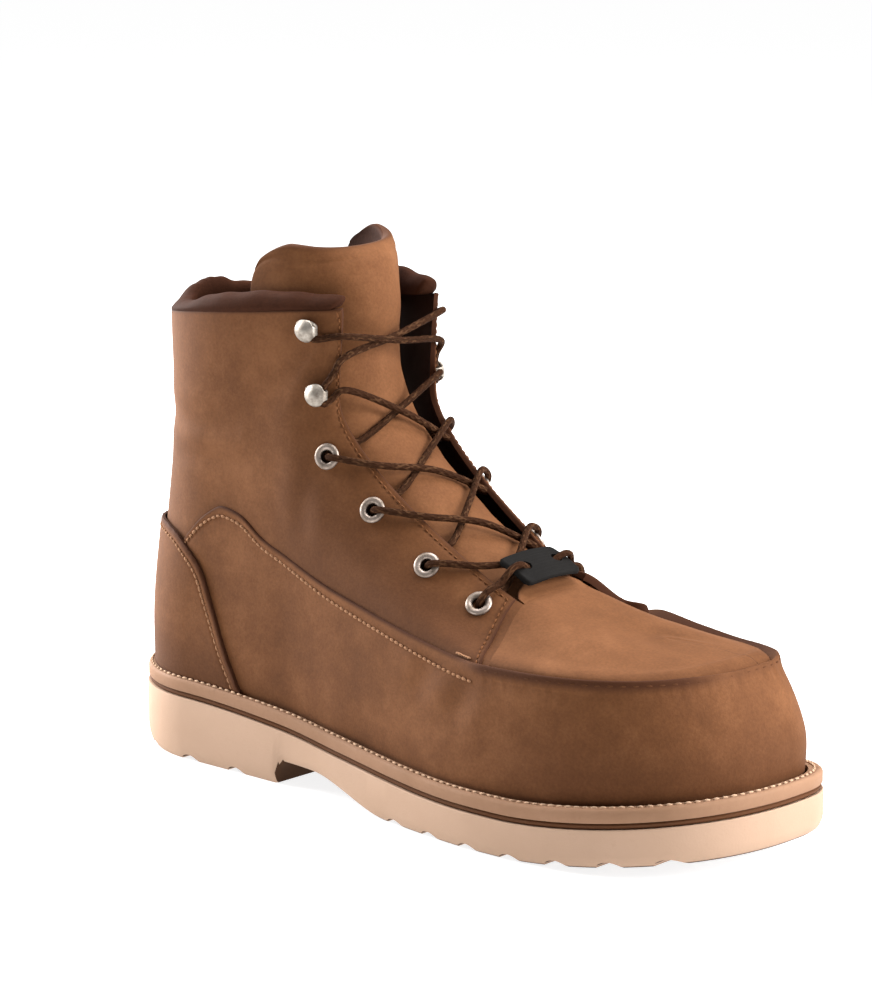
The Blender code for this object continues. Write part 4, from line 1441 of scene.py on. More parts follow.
        # Painted shade and light: shade low round the forefoot (low), shade at the vamp's foot beside the
        # welt, and a highlight just below its edge.
        low = (1 - smooth(0.6, 1.5, levels)) * smooth(0.6, 0.75, np.abs(qs))[:, None]
        shade = self.foot_shade.at(arc(points, 1)) + self.rim_highlight.at(from_top) * (1 - toe) - 0.7 * low
        return Sheet.over(wall, out, depth, edge, shade, True).build("vamp", self.finishes.skin)

    def row_gap(self, qs: Array) -> Array:
        """Distance from the vamp's edge to its stitch row, wider towards the toe."""
        return 3.6 + 2.4 * smooth(0.35, 0.6, np.abs(qs))

    def lip_height(self, qs: Array) -> Array:
        """How far the moc seam's lip stands up: more on the inner side, least round the toe's tip."""
        p = np.abs(qs)
        inner = (qs > 0) * self.inner_rise * (1 - smooth(*self.inner_end, p))
        return (self.seam_rise + inner) * (1 - 0.7 * smooth(*self.toe_tip, p))

    def build_quarters(self) -> Piece:
        """Both quarters as one panel round the heel, from the vamp up to collar and throat."""
        speed = self.last.row_speed(-self.quarter_front + 0.005, 3.0)
        near = self.quarter_front - np.array(self.edge_steps) / speed
        side = np.concatenate([np.linspace(0.0, near[0], 130, endpoint=False), near])
        qs = np.concatenate([-side[::-1], side[1:]])
        top = self.last.EDGE
        levels = np.array([self.rows_to_edge(q, self.vamp_edge(q) - self.lap, top, 56) for q in qs])
        wall = self.patch(qs, levels)
        points = wall[0]
        nearest = np.minimum(arc(points, 1, from_end=True), to_border(points, 0))
        from_vamp = np.abs(levels - np.array([self.vamp_edge(q) for q in qs])[:, None]) * self.level_mm
        around = np.abs(qs)[:, None]
        row = furrow(nearest - self.throat_row, 0.3, 0.6) * (around > 0.36)
        back = bell(arc_about(points), self.back_seam) * (levels > 1.9)
        lift = self.front_lift * smooth(self.lift_from, self.quarter_front, qs)[:, None]
        lift = lift * smooth(1.95, 2.25, levels)
        out = self.troughs(points) - self.quarter_step - row - rounding(nearest, self.edge_round)
        out = out - 0.5 * back + lift
        edge = np.maximum(bell(nearest, 1.0), 0.7 * back)
        # Painted shade and light on the quarters: shade along the vamp's edge and the quarters' own edges,
        # shade in the hollow below the eyelets, and a highlight up the back of the shaft.
        hollow_shade = smooth(0.34, 0.46, around) * (1 - smooth(2.9, 3.5, levels))
        shaft_highlight = (1 - smooth(0.08, 0.2, around)) * smooth(2.4, 3.2, levels)
        dark = self.vamp_seam_shade.at(from_vamp) + self.quarter_edge_shade.at(nearest) + 0.75 * hollow_shade
        sheet = Sheet.over(wall, out, self.wall - 0.7 * lift, edge, 0.5 * shaft_highlight - dark)
        holes = [wall_matrix(self.last, side, hole, -self.quarter_step) for side in Side for hole in EYELETS]
        return drill(sheet.build("quarters", self.finishes.skin), holes, self.hole_radius, self.punch_depth)

    def build_plug(self) -> Piece:
        """Toe plug inside the moc seam, with two tails that run back under the quarters."""
        ps = np.concatenate([np.linspace(AT.ball, 0.985, 84), (0.992, 0.997, 1.0)])
        rise = np.concatenate([self.plug_foot, np.linspace(2.02, 5.0, 44)])
        levels = np.tile(rise, (len(ps), 1))
        back = smooth(0.645, 0.72, ps) * (1 - smooth(*self.toe_tip, ps))
        sag = self.plug_sag * back[:, None] * smooth(3.0, 4.6, levels)
        fold = smooth(0.78, 0.9, ps)[:, None]
        grids = []
        for side in (-1, 1):
            wall = self.patch(side * ps, levels)
            from_seam = arc(wall[0], 1)
            relief = self.plug_crown.at(from_seam) + fold * self.plug_fold.at(from_seam)
            relief = relief + self.troughs(wall[0]) + self.plug_dip.at(from_seam)
            tip = smooth(0.84, 0.95, ps)[:, None] * self.plug_tip.at(from_seam)
            out = relief * (1 - smooth(4.2, 5.0, levels)) - self.plug_step - sag + tip
            # Painted shade on the plug beside the moc seam, and painted light over its crown away from the
            # seam.
            shade = self.moc_seam_shade.at(from_seam) + 0.4 * smooth(4.0, 12.0, from_seam)
            sheet = Sheet.over(wall, out, self.wall + sag, np.zeros(levels.shape), shade)
            grids.append((sheet.outer, sheet.inner, sheet.edge, sheet.shade))
        outer, inner, edge, shade = (np.concatenate([a, b[:, -2::-1]], axis=1) for a, b in zip(*grids))
        ridge = len(rise) - 1
        for grid in (outer, inner):
            for _ in range(self.ridge_passes):
                near = grid[:, ridge - 7 : ridge + 8]
                grid[:, ridge - 6 : ridge + 7] = (near[:, :-2] + 2 * near[:, 1:-1] + near[:, 2:]) / 4
        piece = Sheet(outer, inner, edge, shade).build("plug", self.finishes.skin, 0.02)
        tab = self.plug_tab(outer[0], inner[0], shade[0])
        return joined(piece, [tab, *(self.plug_tail(side) for side in (-1, 1))])

    def plug_tab(self, outer: Array, inner: Array, shade: Array) -> Piece:
        """The plug's rounded end over the tongue.

        Args:
            outer: The plug's outer points along the throat, side to side.
            inner: Its inner points there.
            shade: Its shade there.

        Returns:
            The tab.
        """
        inside = np.abs(outer[:, 1]) < self.tab_half
        way = unit(np.array(self.tab_way))
        steps = closing(0.85, 12, 9)
        reach = self.tab_length * np.sqrt(1 - (outer[inside, 1] / self.tab_round) ** 2)
        run = reach[:, None] * steps[None, ::-1]
        left = reach[:, None] - run
        move = run[..., None] * way
        drop = rounding(left, self.edge_round)[..., None] * np.array((0.0, 0.0, 1.0))
        # The tab carries the plug's painted shade and light from the throat's edge.
        tab_shade = np.repeat(shade[inside][:, None], len(steps), axis=1)
        grids = (outer[inside][:, None] + move - drop, inner[inside][:, None] + move)
        return Sheet(*grids, bell(left, 0.9), tab_shade).build("plug_tab", self.finishes.skin)

    def plug_tail(self, side: int) -> Piece:
        """The plug's tail under one quarter's front edge."""
        qs = side * np.linspace(self.quarter_front - 0.045, AT.ball, 16)
        levels = np.array([self.rows_to_edge(float(q), self.plug_foot[0], self.last.EDGE, 30) for q in qs])
        wall = self.patch(qs, levels)
        around = np.abs(qs)[:, None]
        share = smooth(self.quarter_front - 0.03, self.quarter_front, around)
        out = self.troughs(wall[0]) * share - self.plug_step - 0.25 * (1 - share)
        from_front = np.abs(around - self.quarter_front)
        # Painted shade on the tail: darker towards its foot and right at the quarter's front edge.
        shade = self.tail_shade.at(arc(wall[0], 1)) - 0.5 * np.exp(-from_front * 60)
        sheet = Sheet.over(wall, out, self.wall - 0.1, np.zeros(levels.shape), shade)
        return sheet.build(f"plug_tail_{side}", self.finishes.skin)

    def counter_top(self, q: float) -> float:
        """Level of the counter's upper edge."""
        return table(self.counter_edge, abs(q))

    def build_counter(self) -> Piece:
        """Panel round the heel, over the vamp."""
        end = self.counter_edge[-1][0]
        side = end * (1 - (1 - np.linspace(0.0, 1.0, 90)) ** 1.6)
        qs = np.concatenate([-side[::-1], side[1:]])
        tops = np.array([[self.counter_top(float(q))] for q in qs])
        feet = np.minimum(self.counter_foot, tops - 0.03)
        wall = self.patch(qs, feet + (tops - feet) * np.linspace(0.0, 1.0, 52) ** 0.8)
        line = self.row([(float(q), self.counter_top(float(q))) for q in np.linspace(-end, end, 400)], 0.0)
        nearest = np.linalg.norm(wall[0][:, :, None] - line, axis=-1).min(axis=-1)
        out = GAP + self.counter_thick - rounding(nearest, 0.9) + 0.6 * self.troughs(wall[0])
        out -= furrow(nearest - self.counter_row, self.row_depth)
        # Painted highlight inside the counter's edge, and painted shade low on the counter towards the sole.
        shade = self.counter_rim_highlight.at(nearest) + self.counter_foot_shade.at(arc(wall[0], 1))
        sheet = Sheet.over(wall, out, -0.05, bell(nearest, 1.4), shade)
        return sheet.build("counter_panel", self.finishes.skin)

    def row(self, spots: Iterable[tuple[float, float]], out: float) -> Array:
        """A path on the wall through (q, level) places, set out a little."""
        return np.array([self.last.place(float(q), float(level), out) for q, level in spots])

    def below(self, q: float, level: float, gap: float) -> tuple[float, float]:
        """The place (q, level) that lies a distance below another on its rib."""
        return q, level - gap / self.last.rib_speed(q, level)

    def beside(self, spots: Sequence[tuple[float, float]], gap: float, out: float, heel: bool) -> Array:
        """A row that keeps its distance from an edge.

        Args:
            spots: Places (q, level) along the edge.
            gap: Distance from the edge.
            out: How far out from the form.
            heel: Whether the row lies on the heel's side of the edge.

        Returns:
            The row's points.
        """
        edge = self.row(spots, 0.0)
        normals = np.array([self.last.normal(q, level) for q, level in spots])
        away = unit(np.cross(np.gradient(edge, axis=0), normals))
        if (away[len(away) // 2, 0] < 0) != heel:
            away = -away
        return edge + away * gap + normals * out

    def build_stitches(self) -> None:
        """Every stitch row of the upper."""
        vamp_rows, counter_rows, throat_rows, moc_rows, tacks = [], [], [], [], []
        last, front = self.last, self.quarter_front
        for side in (-1, 1):
            ps = np.linspace(0.185, 0.622, 170)
            spots = [self.below(side * p, self.vamp_edge(p), gap) for p, gap in zip(ps, self.row_gap(ps))]
            vamp_rows.append(self.row(spots, 0.0))
            ps = np.concatenate([np.linspace(0.0, 0.28, 110), np.linspace(0.281, 0.309, 40)])
            spots = [(side * float(p), self.counter_top(float(p))) for p in ps]
            out = GAP + self.counter_thick - 0.15
            counter_rows.append(self.beside(spots, self.counter_row, out, heel=True))
            ps = np.linspace(0.37, front - 0.008, 110)
            spots = [self.below(side * p, last.EDGE, self.throat_row) for p in ps]
            turn = front - self.throat_row / last.row_speed(side * (front - 0.01), 3.0)
            corner = [(side * turn, level) for level in np.linspace(3.86, 2.06, 50)]
            throat_rows.append(self.row([*spots, *corner], -self.quarter_step))
            ps = side * np.linspace(0.645, 1.0, 150)
            outs = 0.75 * self.lip_height(ps) - 0.3
            moc_rows.append(np.array([last.place(*self.below(q, 2.0, 1.7), out) for q, out in zip(ps, outs)]))
            ends = [(side * (front - back), 2.1) for back in (0.014, 0.026)]
            tacks.append(self.row(ends, -self.quarter_step + 0.2))
        finishes = self.finishes
        for name, rows, finish, *size in (
            ("vamp_stitches", vamp_rows, finishes.thread, 2.7, 2.6, 1.1),
            ("counter_stitches", counter_rows, finishes.thread, 2.7, 2.6, 1.0),
            ("throat_stitches", throat_rows, finishes.brown_thread, 2.7, 2.2, 0.7),
            ("moc_stitches", moc_rows, finishes.dark_thread, 4.6, 3.2, 0.9),
            ("bar_tacks", tacks, finishes.thread, 1.0, 2.0, 1.0),
        ):
            attach(self.threads.sew(name, rows, finish, *size), None)

    def build(self) -> None:
        """Makes the upper's pieces and attaches them."""
        attach(self.build_vamp(), "leather", "upper")
        attach(self.build_quarters(), "leather", "upper")
        attach(self.build_plug(), "leather", "upper")
        attach(self.build_counter(), "leather", "heel_counter")
        self.build_stitches()


def arc_about(points: Array) -> Array:
    """Distance of each grid point from the grid's middle column, along the rows."""
    run = arc(points, 0)
    return np.abs(run - run[len(run) // 2])


def joined(piece: Piece, others: Sequence[Piece]) -> Piece:
    """Adds other objects' meshes to a piece and removes them.

    Args:
        piece: The object that stays.
        others: Objects with the same material slots.

    Returns:
        The piece.
    """
    mesh = bmesh.new()
    for source in (piece, *others):
        mesh.from_mesh(source.data)
    mesh.to_mesh(piece.data)
    mesh.free()
    for other in others:
        bpy.data.objects.remove(other)
    return piece


def throat_q(last: Last, side: Side, hole: Hole) -> float:
    """Where on the throat's edge a strand crosses on its way to a hole."""
    place = last.place(side.value * hole.q, hole.level)
    choices = np.linspace(AT.ankle + 0.01, AT.ball - 0.005, 60)
    gaps = [np.linalg.norm(last.edge(side.value * float(p)) - place) for p in choices]
    return side.value * float(choices[int(np.argmin(gaps))])


def wall_frame(last: Last, side: Side, hole: Hole, out: float) -> tuple[Array, Array, Array, Array]:
    """Place and axes at a lace hole.

    Args:
        last: The form.
        side: Which side of the shoe.
        hole: The hole's place.
        out: How far out from the form.

    Returns:
        The place, and the axes out of the wall, towards the throat, and up along the throat.
    """
    q = side.value * hole.q
    normal = last.normal(q, hole.level)
    towards = last.edge(throat_q(last, side, hole)) - last.place(q, hole.level)
    towards = unit(towards - normal * np.dot(normal, towards))
    aside = np.cross(normal, towards)
    if aside[2] < 0:
        aside = -aside
    return last.place(q, hole.level, out), normal, towards, aside


def wall_matrix(last: Last, side: Side, hole: Hole, out: float) -> Matrix:
    """World matrix at a lace hole, Z out of the wall; Args as wall_frame()."""
    place, normal, towards, _ = wall_frame(last, side, hole, out)
    turn = Matrix((towards, np.cross(normal, towards), normal)).transposed()
    return Matrix.Translation(to_metres(place)) @ turn.to_4x4()


# Collar and tongue


class CuffRow(NamedTuple):
    """Height of the cuff at a place round the shoe, and how far its top leans in."""

    q: float
    height: float
    lean: float


@dataclass
class Collar:
    """Padded cuff on the top edge, from one front corner round the back to the other."""

    last: Last
    finishes: Finishes
    section: Pairs = (
        (-1.2, 0.0), (-0.45, 0.32), (-1.3, 0.66), (-3.2, 0.92),
        (-5.6, 1.0), (-8.0, 0.88), (-9.2, 0.5), (-8.8, 0.0),
    )
    rows: tuple[CuffRow, ...] = (
        CuffRow(-0.353, 5.4, 0.0), CuffRow(-0.29, 7.4, 0.0), CuffRow(-0.22, 7.0, 0.2),
        CuffRow(-0.15, 3.8, 0.8), CuffRow(-0.09, 3.8, 1.5), CuffRow(-0.03, 9.6, 2.6),
        CuffRow(0.02, 11.2, 2.8), CuffRow(0.1, 7.0, 1.0), CuffRow(0.2, 7.6, 0.0),
        CuffRow(0.28, 12.0, 0.0), CuffRow(0.353, 7.6, 0.0),
    )
    middle: tuple[float, float] = (-5.0, 0.45)
    end_share: float = 0.035
    end_squeeze: float = 0.8
    puckers: tuple[tuple[float, float, float], ...] = ((0.035, 5.2, 0.0), (0.03, 2.3, 0.7))
    pucker_from: float = 0.25
    around_mm: float = 400.0
    tuck: float = -0.7
    fill: float = 0.8

    def build(self) -> None:
        """Makes the cuff and attaches it."""
        end = self.rows[-1].q
        side = end * np.sin(np.linspace(0.0, math.pi / 2, 110))
        qs = np.concatenate([-side[::-1], side[1:]])
        outline = through(np.array(self.section), np.linspace(0, len(self.section) - 1, 30))
        rings = []
        middle = np.array(self.middle)
        for q in (float(q) for q in qs):
            edge, out = self.last.edge(q), self.last.normal(q)
            up = unit(edge - self.last.place(q, self.last.EDGE - 0.05))
            height = table([(row.q, row.height) for row in self.rows], q)
            lean = table([(row.q, row.lean) for row in self.rows], q)
            run = abs(q) * self.around_mm
            pucker = sum((high * math.sin(run / wave + turn) for high, wave, turn in self.puckers), 1.0)
            near = min(max((abs(q) / end - 1 + self.end_share) / self.end_share, 0.0), 1.0)
            squeeze = 1 - self.end_squeeze * (1 - math.sqrt(1 - near * near))
            ring = []
            for pad in outline:
                x, y = middle + (pad - middle) * squeeze
                rise = (height - self.tuck) * y * (pucker if y > self.pucker_from else 1.0)
                ring.append(edge + out * (x - lean * y) + up * (self.tuck + rise))
            rings.append(ring)
        piece = tube("collar_pad", rings, self.finishes.collar, loop=False)
        attach(piece, "collar_leather", "collar")


class TongueRow(NamedTuple):
    """One row across the tongue, half an ellipse from its front back to its wings."""

    front_x: float
    front_z: float
    wing_x: float
    wing_y: float
    wing_z: float


@dataclass
class Tongue:
    """Padded tongue under the throat, wrapped inside the collar at the top."""

    last: Last
    finishes: Finishes
    rows: tuple[TongueRow, ...] = (
        TongueRow(224, 78.5, 220, 17, 74), TongueRow(204, 86.0, 197, 21, 76),
        TongueRow(186, 95.5, 177, 24, 82), TongueRow(163, 110.0, 149, 26, 95),
        TongueRow(138, 131.0, 121, 28, 114), TongueRow(122, 152.0, 98, 28, 141),
        TongueRow(120, 172.0, 82, 28, 168), TongueRow(120, 190.0, 75, 28, 188),
        TongueRow(116, 204.0, 77, 28, 203), TongueRow(110, 210.0, 85, 27, 212),
    )
    thick: float = 4.0
    fill: float = 0.55
    corner: float = 7.0
    tilt: float = 1.7
    tilt_rows: tuple[float, float] = (5.0, 9.0)
    shift: float = -2.2
    shift_rows: Pairs = ((2.5, 4.5), (7.0, 8.5))
    sink: Swell = Swell(1.6, 0.0, 20.0)
    sink_foot: tuple[float, float] = (84.0, 94.0)
    sink_top: tuple[float, float] = (168.0, 186.0)
    hem: float = 6.5
    press: tuple[float, float] = (4.6, 17.0)
    top_wear: Swell = Swell(0.8, 0.0, 1.5)
    # Painted highlight down the tongue's middle.
    middle_highlight: Swell = Swell(0.25, 0.0, 14.0)
    # Painted shade along the tongue's sides.
    side_shade: Fade = Fade(-0.3, 6.0)
    pressed: Sequence[Array] = ()

    def point(self, t: float, turn: float) -> Array:
        """A point of the tongue's front.

        Args:
            t: Row, 0 at its foot.
            turn: From -pi/2 at the outer wing to pi/2 at the inner one.

        Returns:
            The point.
        """
        row = TongueRow(*through(np.array(self.rows, dtype=float), np.array([t]))[0])
        c, s = math.cos(turn), math.sin(turn)
        front = np.array((row.front_x, 0.0, row.front_z))
        wing = np.array((row.wing_x, 0.0, row.wing_z))
        begins, ends = self.shift_rows
        aside = self.shift * float(smooth(*begins, t)) * (1 - float(smooth(*ends, t)))
        rise = self.tilt * s * float(smooth(*self.tilt_rows, t))
        return wing + (front - wing) * c + np.array((0.0, row.wing_y * s + aside, rise))

    def tops(self, turns: Array) -> Array:
        """Where each column ends: at the top row, lower at its two rounded corners."""
        last_row = len(self.rows) - 1
        top = np.array([[self.point(last_row, float(turn))] for turn in turns])
        nearest = to_border(top, 0)[:, 0]
        step = np.linalg.norm(self.point(last_row, 0.0) - self.point(last_row - 0.5, 0.0)) * 2
        return last_row - rounding(nearest, self.corner) / step

    def build(self) -> None:
        """Makes the tongue and attaches it."""
        shares = closing(0.93, 120, 20)
        turns = math.pi / 2 * np.sin(np.linspace(-math.pi / 2, math.pi / 2, 80))
        points = np.array(
            [
                [self.point(float(share * top), float(turn)) for share in shares]
                for turn, top in zip(turns, self.tops(turns))
            ]
        )
        normals = unit(np.cross(np.gradient(points, axis=1), np.gradient(points, axis=0)))
        middle = len(turns) // 2
        if normals[middle, len(shares) // 2, 0] < 0:
            normals = -normals
        run, from_top = arc(points, 1), arc(points, 1, from_end=True)
        from_side = to_border(points, 0)
        nearest = np.minimum(from_top, from_side)
        _, y, z = np.moveaxis(points, -1, 0)
        puff = 0.4 + 0.25 * np.sin(z / 15 + y / 19)
        for spot in self.pressed:
            k = int(np.argmin(np.linalg.norm(points[middle] - spot, axis=1)))
            puff = puff - bell(run - run[middle, k], self.press[0]) * bell(y, self.press[1])
        sink = self.sink.at(y) * (1 - smooth(*self.sink_top, z)) * smooth(*self.sink_foot, z)
        out = puff - sink - furrow(from_top - self.hem, 0.3, 1.2) - rounding(nearest, 1.8)
        # Painted light down the tongue's middle and painted shade along its sides.
        shade = self.middle_highlight.at(y) + self.side_shade.at(from_side)
        under = self.thick - rounding(nearest, 1.4) * 0.8
        sheet = Sheet.over((points, normals), out, under, self.top_wear.at(from_top), shade)
        piece = sheet.build("tongue_pad", [self.finishes.tongue, self.finishes.collar])
        attach(piece, "leather", "tongue")


# Fastening


@dataclass
class Fastening:
    """Eyelets, speed hooks, lace and its keeper tab."""

    last: Last
    finishes: Finishes
    ring_radius: float = 3.75
    ring_thick: float = 1.35
    ring_flat: float = 0.72
    seat: float = -0.35
    hook_strip: tuple[tuple[float, float, float], ...] = (
        (-2.0, 1.2, 2.2), (0.0, 1.2, 3.4), (5.0, 1.3, 3.0), (7.4, 2.4, 1.9), (7.9, 4.2, 1.7),
        (7.7, 5.5, 2.2), (7.0, 6.1, 3.3), (5.8, 6.7, 4.05), (4.2, 7.0, 4.3), (2.6, 6.7, 4.05),
        (1.3, 5.95, 3.3), (0.45, 5.3, 2.3), (0.0, 4.9, 1.4), (-0.15, 4.75, 0.5),
    )
    hook_thick: float = 1.0
    hook_dome: float = 0.125
    inner_hook_shift: float = -4.5
    hook_edges: Pairs = ((0.423, 0.423), (0.443, 0.468))
    inner_hook_edges: Pairs = ((0.413, 0.413), (0.442, 0.468))
    strand_slip: float = 0.55
    eyelet_dive: Pairs = ((5.6, 2.5), (1.6, 1.7), (-0.3, -2.0), (2.0, -5.2))
    lace_radius: float = 1.35
    lace_step: float = 0.0011
    crossing_rise: float = 2.8
    over_share: float = 0.95
    under_share: float = -0.75
    under_shift: float = 0.008
    under_way: Pairs = ((-3.0, -5.0), (2.4, -2.2))
    hook_leg: float = 1.4
    hook_bend: tuple[tuple[float, float, float], ...] = ((6.6, 3.4, 3.0), (5.2, 2.0, 3.8))
    hook_stop: tuple[float, float, float] = (4.8, 2.0, 3.8)
    quarter_out: float = -0.9
    bar_stand: tuple[float, float, float] = (1.0, 0.0, 2.25)
    bar_stops: tuple[float, ...] = (1.0, 1.22, 1.42, 1.58, 1.8, 2.0, 2.2, 2.42, 2.58, 2.78, 3.0)
    keeper_reach: float = 0.7
    keeper_length: float = 17.0
    keeper_thick: float = 1.8
    keeper_slope: float = 24.0
    keeper_corner: float = 0.16
    keeper_ends: tuple[float, float] = (0.72, 0.28)
    keeper_sag: float = -0.5
    rib_height: float = 0.12
    rib_pitch: float = 1.7
    rib_margin: tuple[float, float] = (1.2, 2.4)
    slot_radius: float = 2.3
    slot_depth: float = 8.0
    slot_reach: float = 0.4

    def build_eyelets(self) -> Piece:
        """Rolled rings, one set on each hole by a tree."""
        tree = Tree("eyelet_rings", Radius=0.004, Roll=0.001, Flat=0.7)
        ring = tree.node("GeometryNodeCurvePrimitiveCircle", Resolution=40, Radius=tree.given("Radius"))
        roll = tree.node("GeometryNodeCurvePrimitiveCircle", Resolution=14, Radius=tree.given("Roll"))
        solid = tree.node("GeometryNodeCurveToMesh", Curve=ring.outputs[0], Profile_Curve=roll.outputs[0])
        flat = tree.node("ShaderNodeCombineXYZ", X=1.0, Y=1.0, Z=tree.given("Flat"))
        shape = tree.node("GeometryNodeTransform", Geometry=solid.outputs[0], Scale=flat.outputs[0])
        turn = tree.node("GeometryNodeInputNamedAttribute", {"data_type": "FLOAT_VECTOR"}, Name="turn")
        spin = tree.node("FunctionNodeEulerToRotation", Euler=turn.outputs[0])
        spots = tree.node(
            "GeometryNodeInstanceOnPoints",
            Points=tree.given("Geometry"),
            Instance=shape.outputs[0],
            Rotation=spin.outputs[0],
        )
        tree.close(spots.outputs[0])
        matrices = [wall_matrix(self.last, side, hole, self.seat) for side in Side for hole in EYELETS]
        data = bpy.data.meshes.new("eyelet_rings")
        data.from_pydata([tuple(matrix.translation) for matrix in matrices], [], [])
        turns = [value for matrix in matrices for value in matrix.to_euler("XYZ")]
        data.attributes.new("turn", "FLOAT_VECTOR", "POINT").data.foreach_set("vector", turns)
        holder = new_object("eyelet_rings", data, [])
        values = {"Radius": self.ring_radius * MM, "Roll": self.ring_thick * MM, "Flat": self.ring_flat}
        return tree.run(holder, Finish=self.finishes.ring, **values)

    def hook_frame(self, side: Side, hole: Hole) -> tuple[Array, Array, Array, Array]:
        """Place and axes of a hook; those on the inner side sit a little further back."""
        place, normal, towards, aside = wall_frame(self.last, side, hole, self.quarter_out)
        shift = self.inner_hook_shift if side is Side.INNER else 0.0
        return place + towards * shift, normal, towards, aside

    def build_hooks(self) -> Piece:
        """Speed hooks: bent strips with a domed lip turned back to the heel, each on a riveted foot."""
        verts: list[list[float]] = []
        faces: list[tuple[int, ...]] = []
        strip = through(np.array(self.hook_strip), np.linspace(0, len(self.hook_strip) - 1, 66))
        shares = np.linspace(-1.0, 1.0, 11)
        for side in Side:
            for hole in HOOKS:
                place, normal, towards, aside = self.hook_frame(side, hole)
                first = len(verts)
                for row, (t, n, half) in enumerate(strip):
                    dome = float(smooth(22, 36, row)) * self.hook_dome
                    for share in shares:
                        lift = n + GAP - dome * (half * share) ** 2
                        point = place + towards * t + normal * lift + aside * half * share
                        verts.append(to_metres(point).tolist())
                wide = len(shares)
                for i in range(len(strip) - 1):
                    for j in range(wide - 1):
                        a = first + i * wide + j
                        faces.append((a, a + wide, a + wide + 1, a + 1))
        data = bpy.data.meshes.new("speed_hooks")
        data.from_pydata(verts, [], faces)
        finish_mesh(data)
        piece = new_object("speed_hooks", data, [self.finishes.hook])
        wall = piece.modifiers.new("strip", "SOLIDIFY")
        wall.thickness = self.hook_thick * MM
        wall.offset = 0.0
        soft = piece.modifiers.new("soft", "SUBSURF")
        soft.levels = soft.render_levels = 1
        settle(piece)
        piece.data.shade_smooth()
        return piece

    def over_edge(self, side: Side, hole: Hole, out: float) -> Array:
        """A point over the throat's edge beside a hole."""
        return self.last.edge(throat_q(self.last, side, hole), out)

    def under_edge(self, side: Side, hole: Hole) -> list[Array]:
        """Points where a strand comes out from under the throat's edge, a little above its hole."""
        q = throat_q(self.last, side, hole) + (self.under_shift if side is Side.INNER else 0.0)
        edge, normal = self.last.edge(q), self.last.normal(q)
        across = unit(self.last.edge(-q) - edge)
        return [edge + across * along + normal * out for along, out in self.under_way]

    def middle(self, high: Hole, low: Hole) -> tuple[Array, Array]:
        """Crossing point between two rows, and the way up from the tongue there."""
        out = self.lace_radius + GAP
        corners = [self.over_edge(side, hole, out) for hole in (high, low) for side in Side]
        lift = unit(np.cross(corners[3] - corners[2], corners[0] + corners[1] - corners[2] - corners[3]))
        return sum(corners) / 4, lift

    def crossings(self) -> list[Array]:
        """Every crossing point of the lace, from the top down."""
        return [self.middle(high, low)[0] for high, low in zip(HOLES, HOLES[1:])]

    def into_eyelet(self, side: Side, hole: Hole, low: Hole) -> list[Array]:
        """Points from over the edge into an eyelet and back under the wall.

        Args:
            side: Which side of the shoe.
            hole: The eyelet's place.
            low: The hole that the strand comes from; on the outer side the strand slants towards it.

        Returns:
            The points.
        """
        place, normal, _, _ = wall_frame(self.last, side, hole, self.quarter_out)
        ends = [throat_q(self.last, side, end) for end in (hole, low)]
        slip = self.strand_slip if side is Side.OUTER else 0.0
        edge = self.last.edge(ends[0] + (ends[1] - ends[0]) * slip, self.lace_radius - 0.3)
        way = unit(edge - place)
        return [edge, *(place + way * along + normal * out for along, out in self.eyelet_dive)]

    def round_hook(self, side: Side, hole: Hole, stop: bool) -> list[Array]:
        """Points round a hook's bend, from below to above; or into it, where the lace ends."""
        place, normal, towards, aside = self.hook_frame(side, hole)
        edges = self.inner_hook_edges if side is Side.INNER else self.hook_edges
        above, below = (side.value * p for p in edges[HOOKS.index(hole)])

        def at(t: float, a: float, n: float) -> Array:
            """A point in the hook's own axes."""
            return place + towards * t + aside * a + normal * n

        def leg(q: float, a: float) -> list[Array]:
            """Where the lace comes over the throat's edge, and halfway from there to the hook."""
            edge = self.last.edge(q, self.lace_radius - 0.2)
            return [edge, (edge + at(self.hook_bend[0][0], a, self.hook_leg)) / 2]

        wide = self.hook_bend[0][1]
        way = [*leg(below, -wide), *(at(t, -a, n) for t, a, n in self.hook_bend)]
        if stop:
            return [*way, at(*self.hook_stop)]
        return [*way, *(at(*bend) for bend in reversed(self.hook_bend)), *reversed(leg(above, wide))]

    def half_lace(self, side: Side) -> list[Array]:
        """Knots of half the lace, from the lowest eyelet on one side up to a top hook."""
        here = side
        knots = self.into_eyelet(here, HOLES[-1], HOLES[-1])[1:]
        for row in range(len(HOLES) - 1, 0, -1):
            low, high = HOLES[row], HOLES[row - 1]
            if row >= len(HOOKS):
                knots += self.under_edge(here, low)
            there = Side(-here.value)
            _, lift = self.middle(high, low)
            is_over = (row % 2 == 0) == (side is Side.OUTER)
            over = self.lace_radius * (self.over_share if is_over else self.under_share)
            if row - 1 >= len(HOOKS):
                goal = self.into_eyelet(there, high, low)
            else:
                goal = self.round_hook(there, high, stop=row == 1)
            knots += [(knots[-1] + goal[0]) / 2 + lift * (self.crossing_rise + over), *goal]
            here = there
        return knots

    def bar_point(self, t: float) -> Array:
        """A point of the lowest bar, 0 to 4 from the outer to the inner eyelet."""
        hole = EYELETS[-1]
        edges = [self.over_edge(side, hole, self.lace_radius + GAP) for side in Side]
        ends = [self.into_eyelet(side, hole, hole)[1] for side in Side]
        middle = sum(edges) / 2 + np.array(self.bar_stand)
        return through(np.array([ends[0], edges[0], middle, edges[1], ends[1]]), np.array([t]))[0]

    def keeper_axes(self) -> tuple[Array, Array]:
        """Directions along the shoe and out of the keeper tab."""
        slope = math.radians(self.keeper_slope)
        along = np.array((math.cos(slope), 0.0, -math.sin(slope)))
        return along, np.array((math.sin(slope), 0.0, math.cos(slope)))

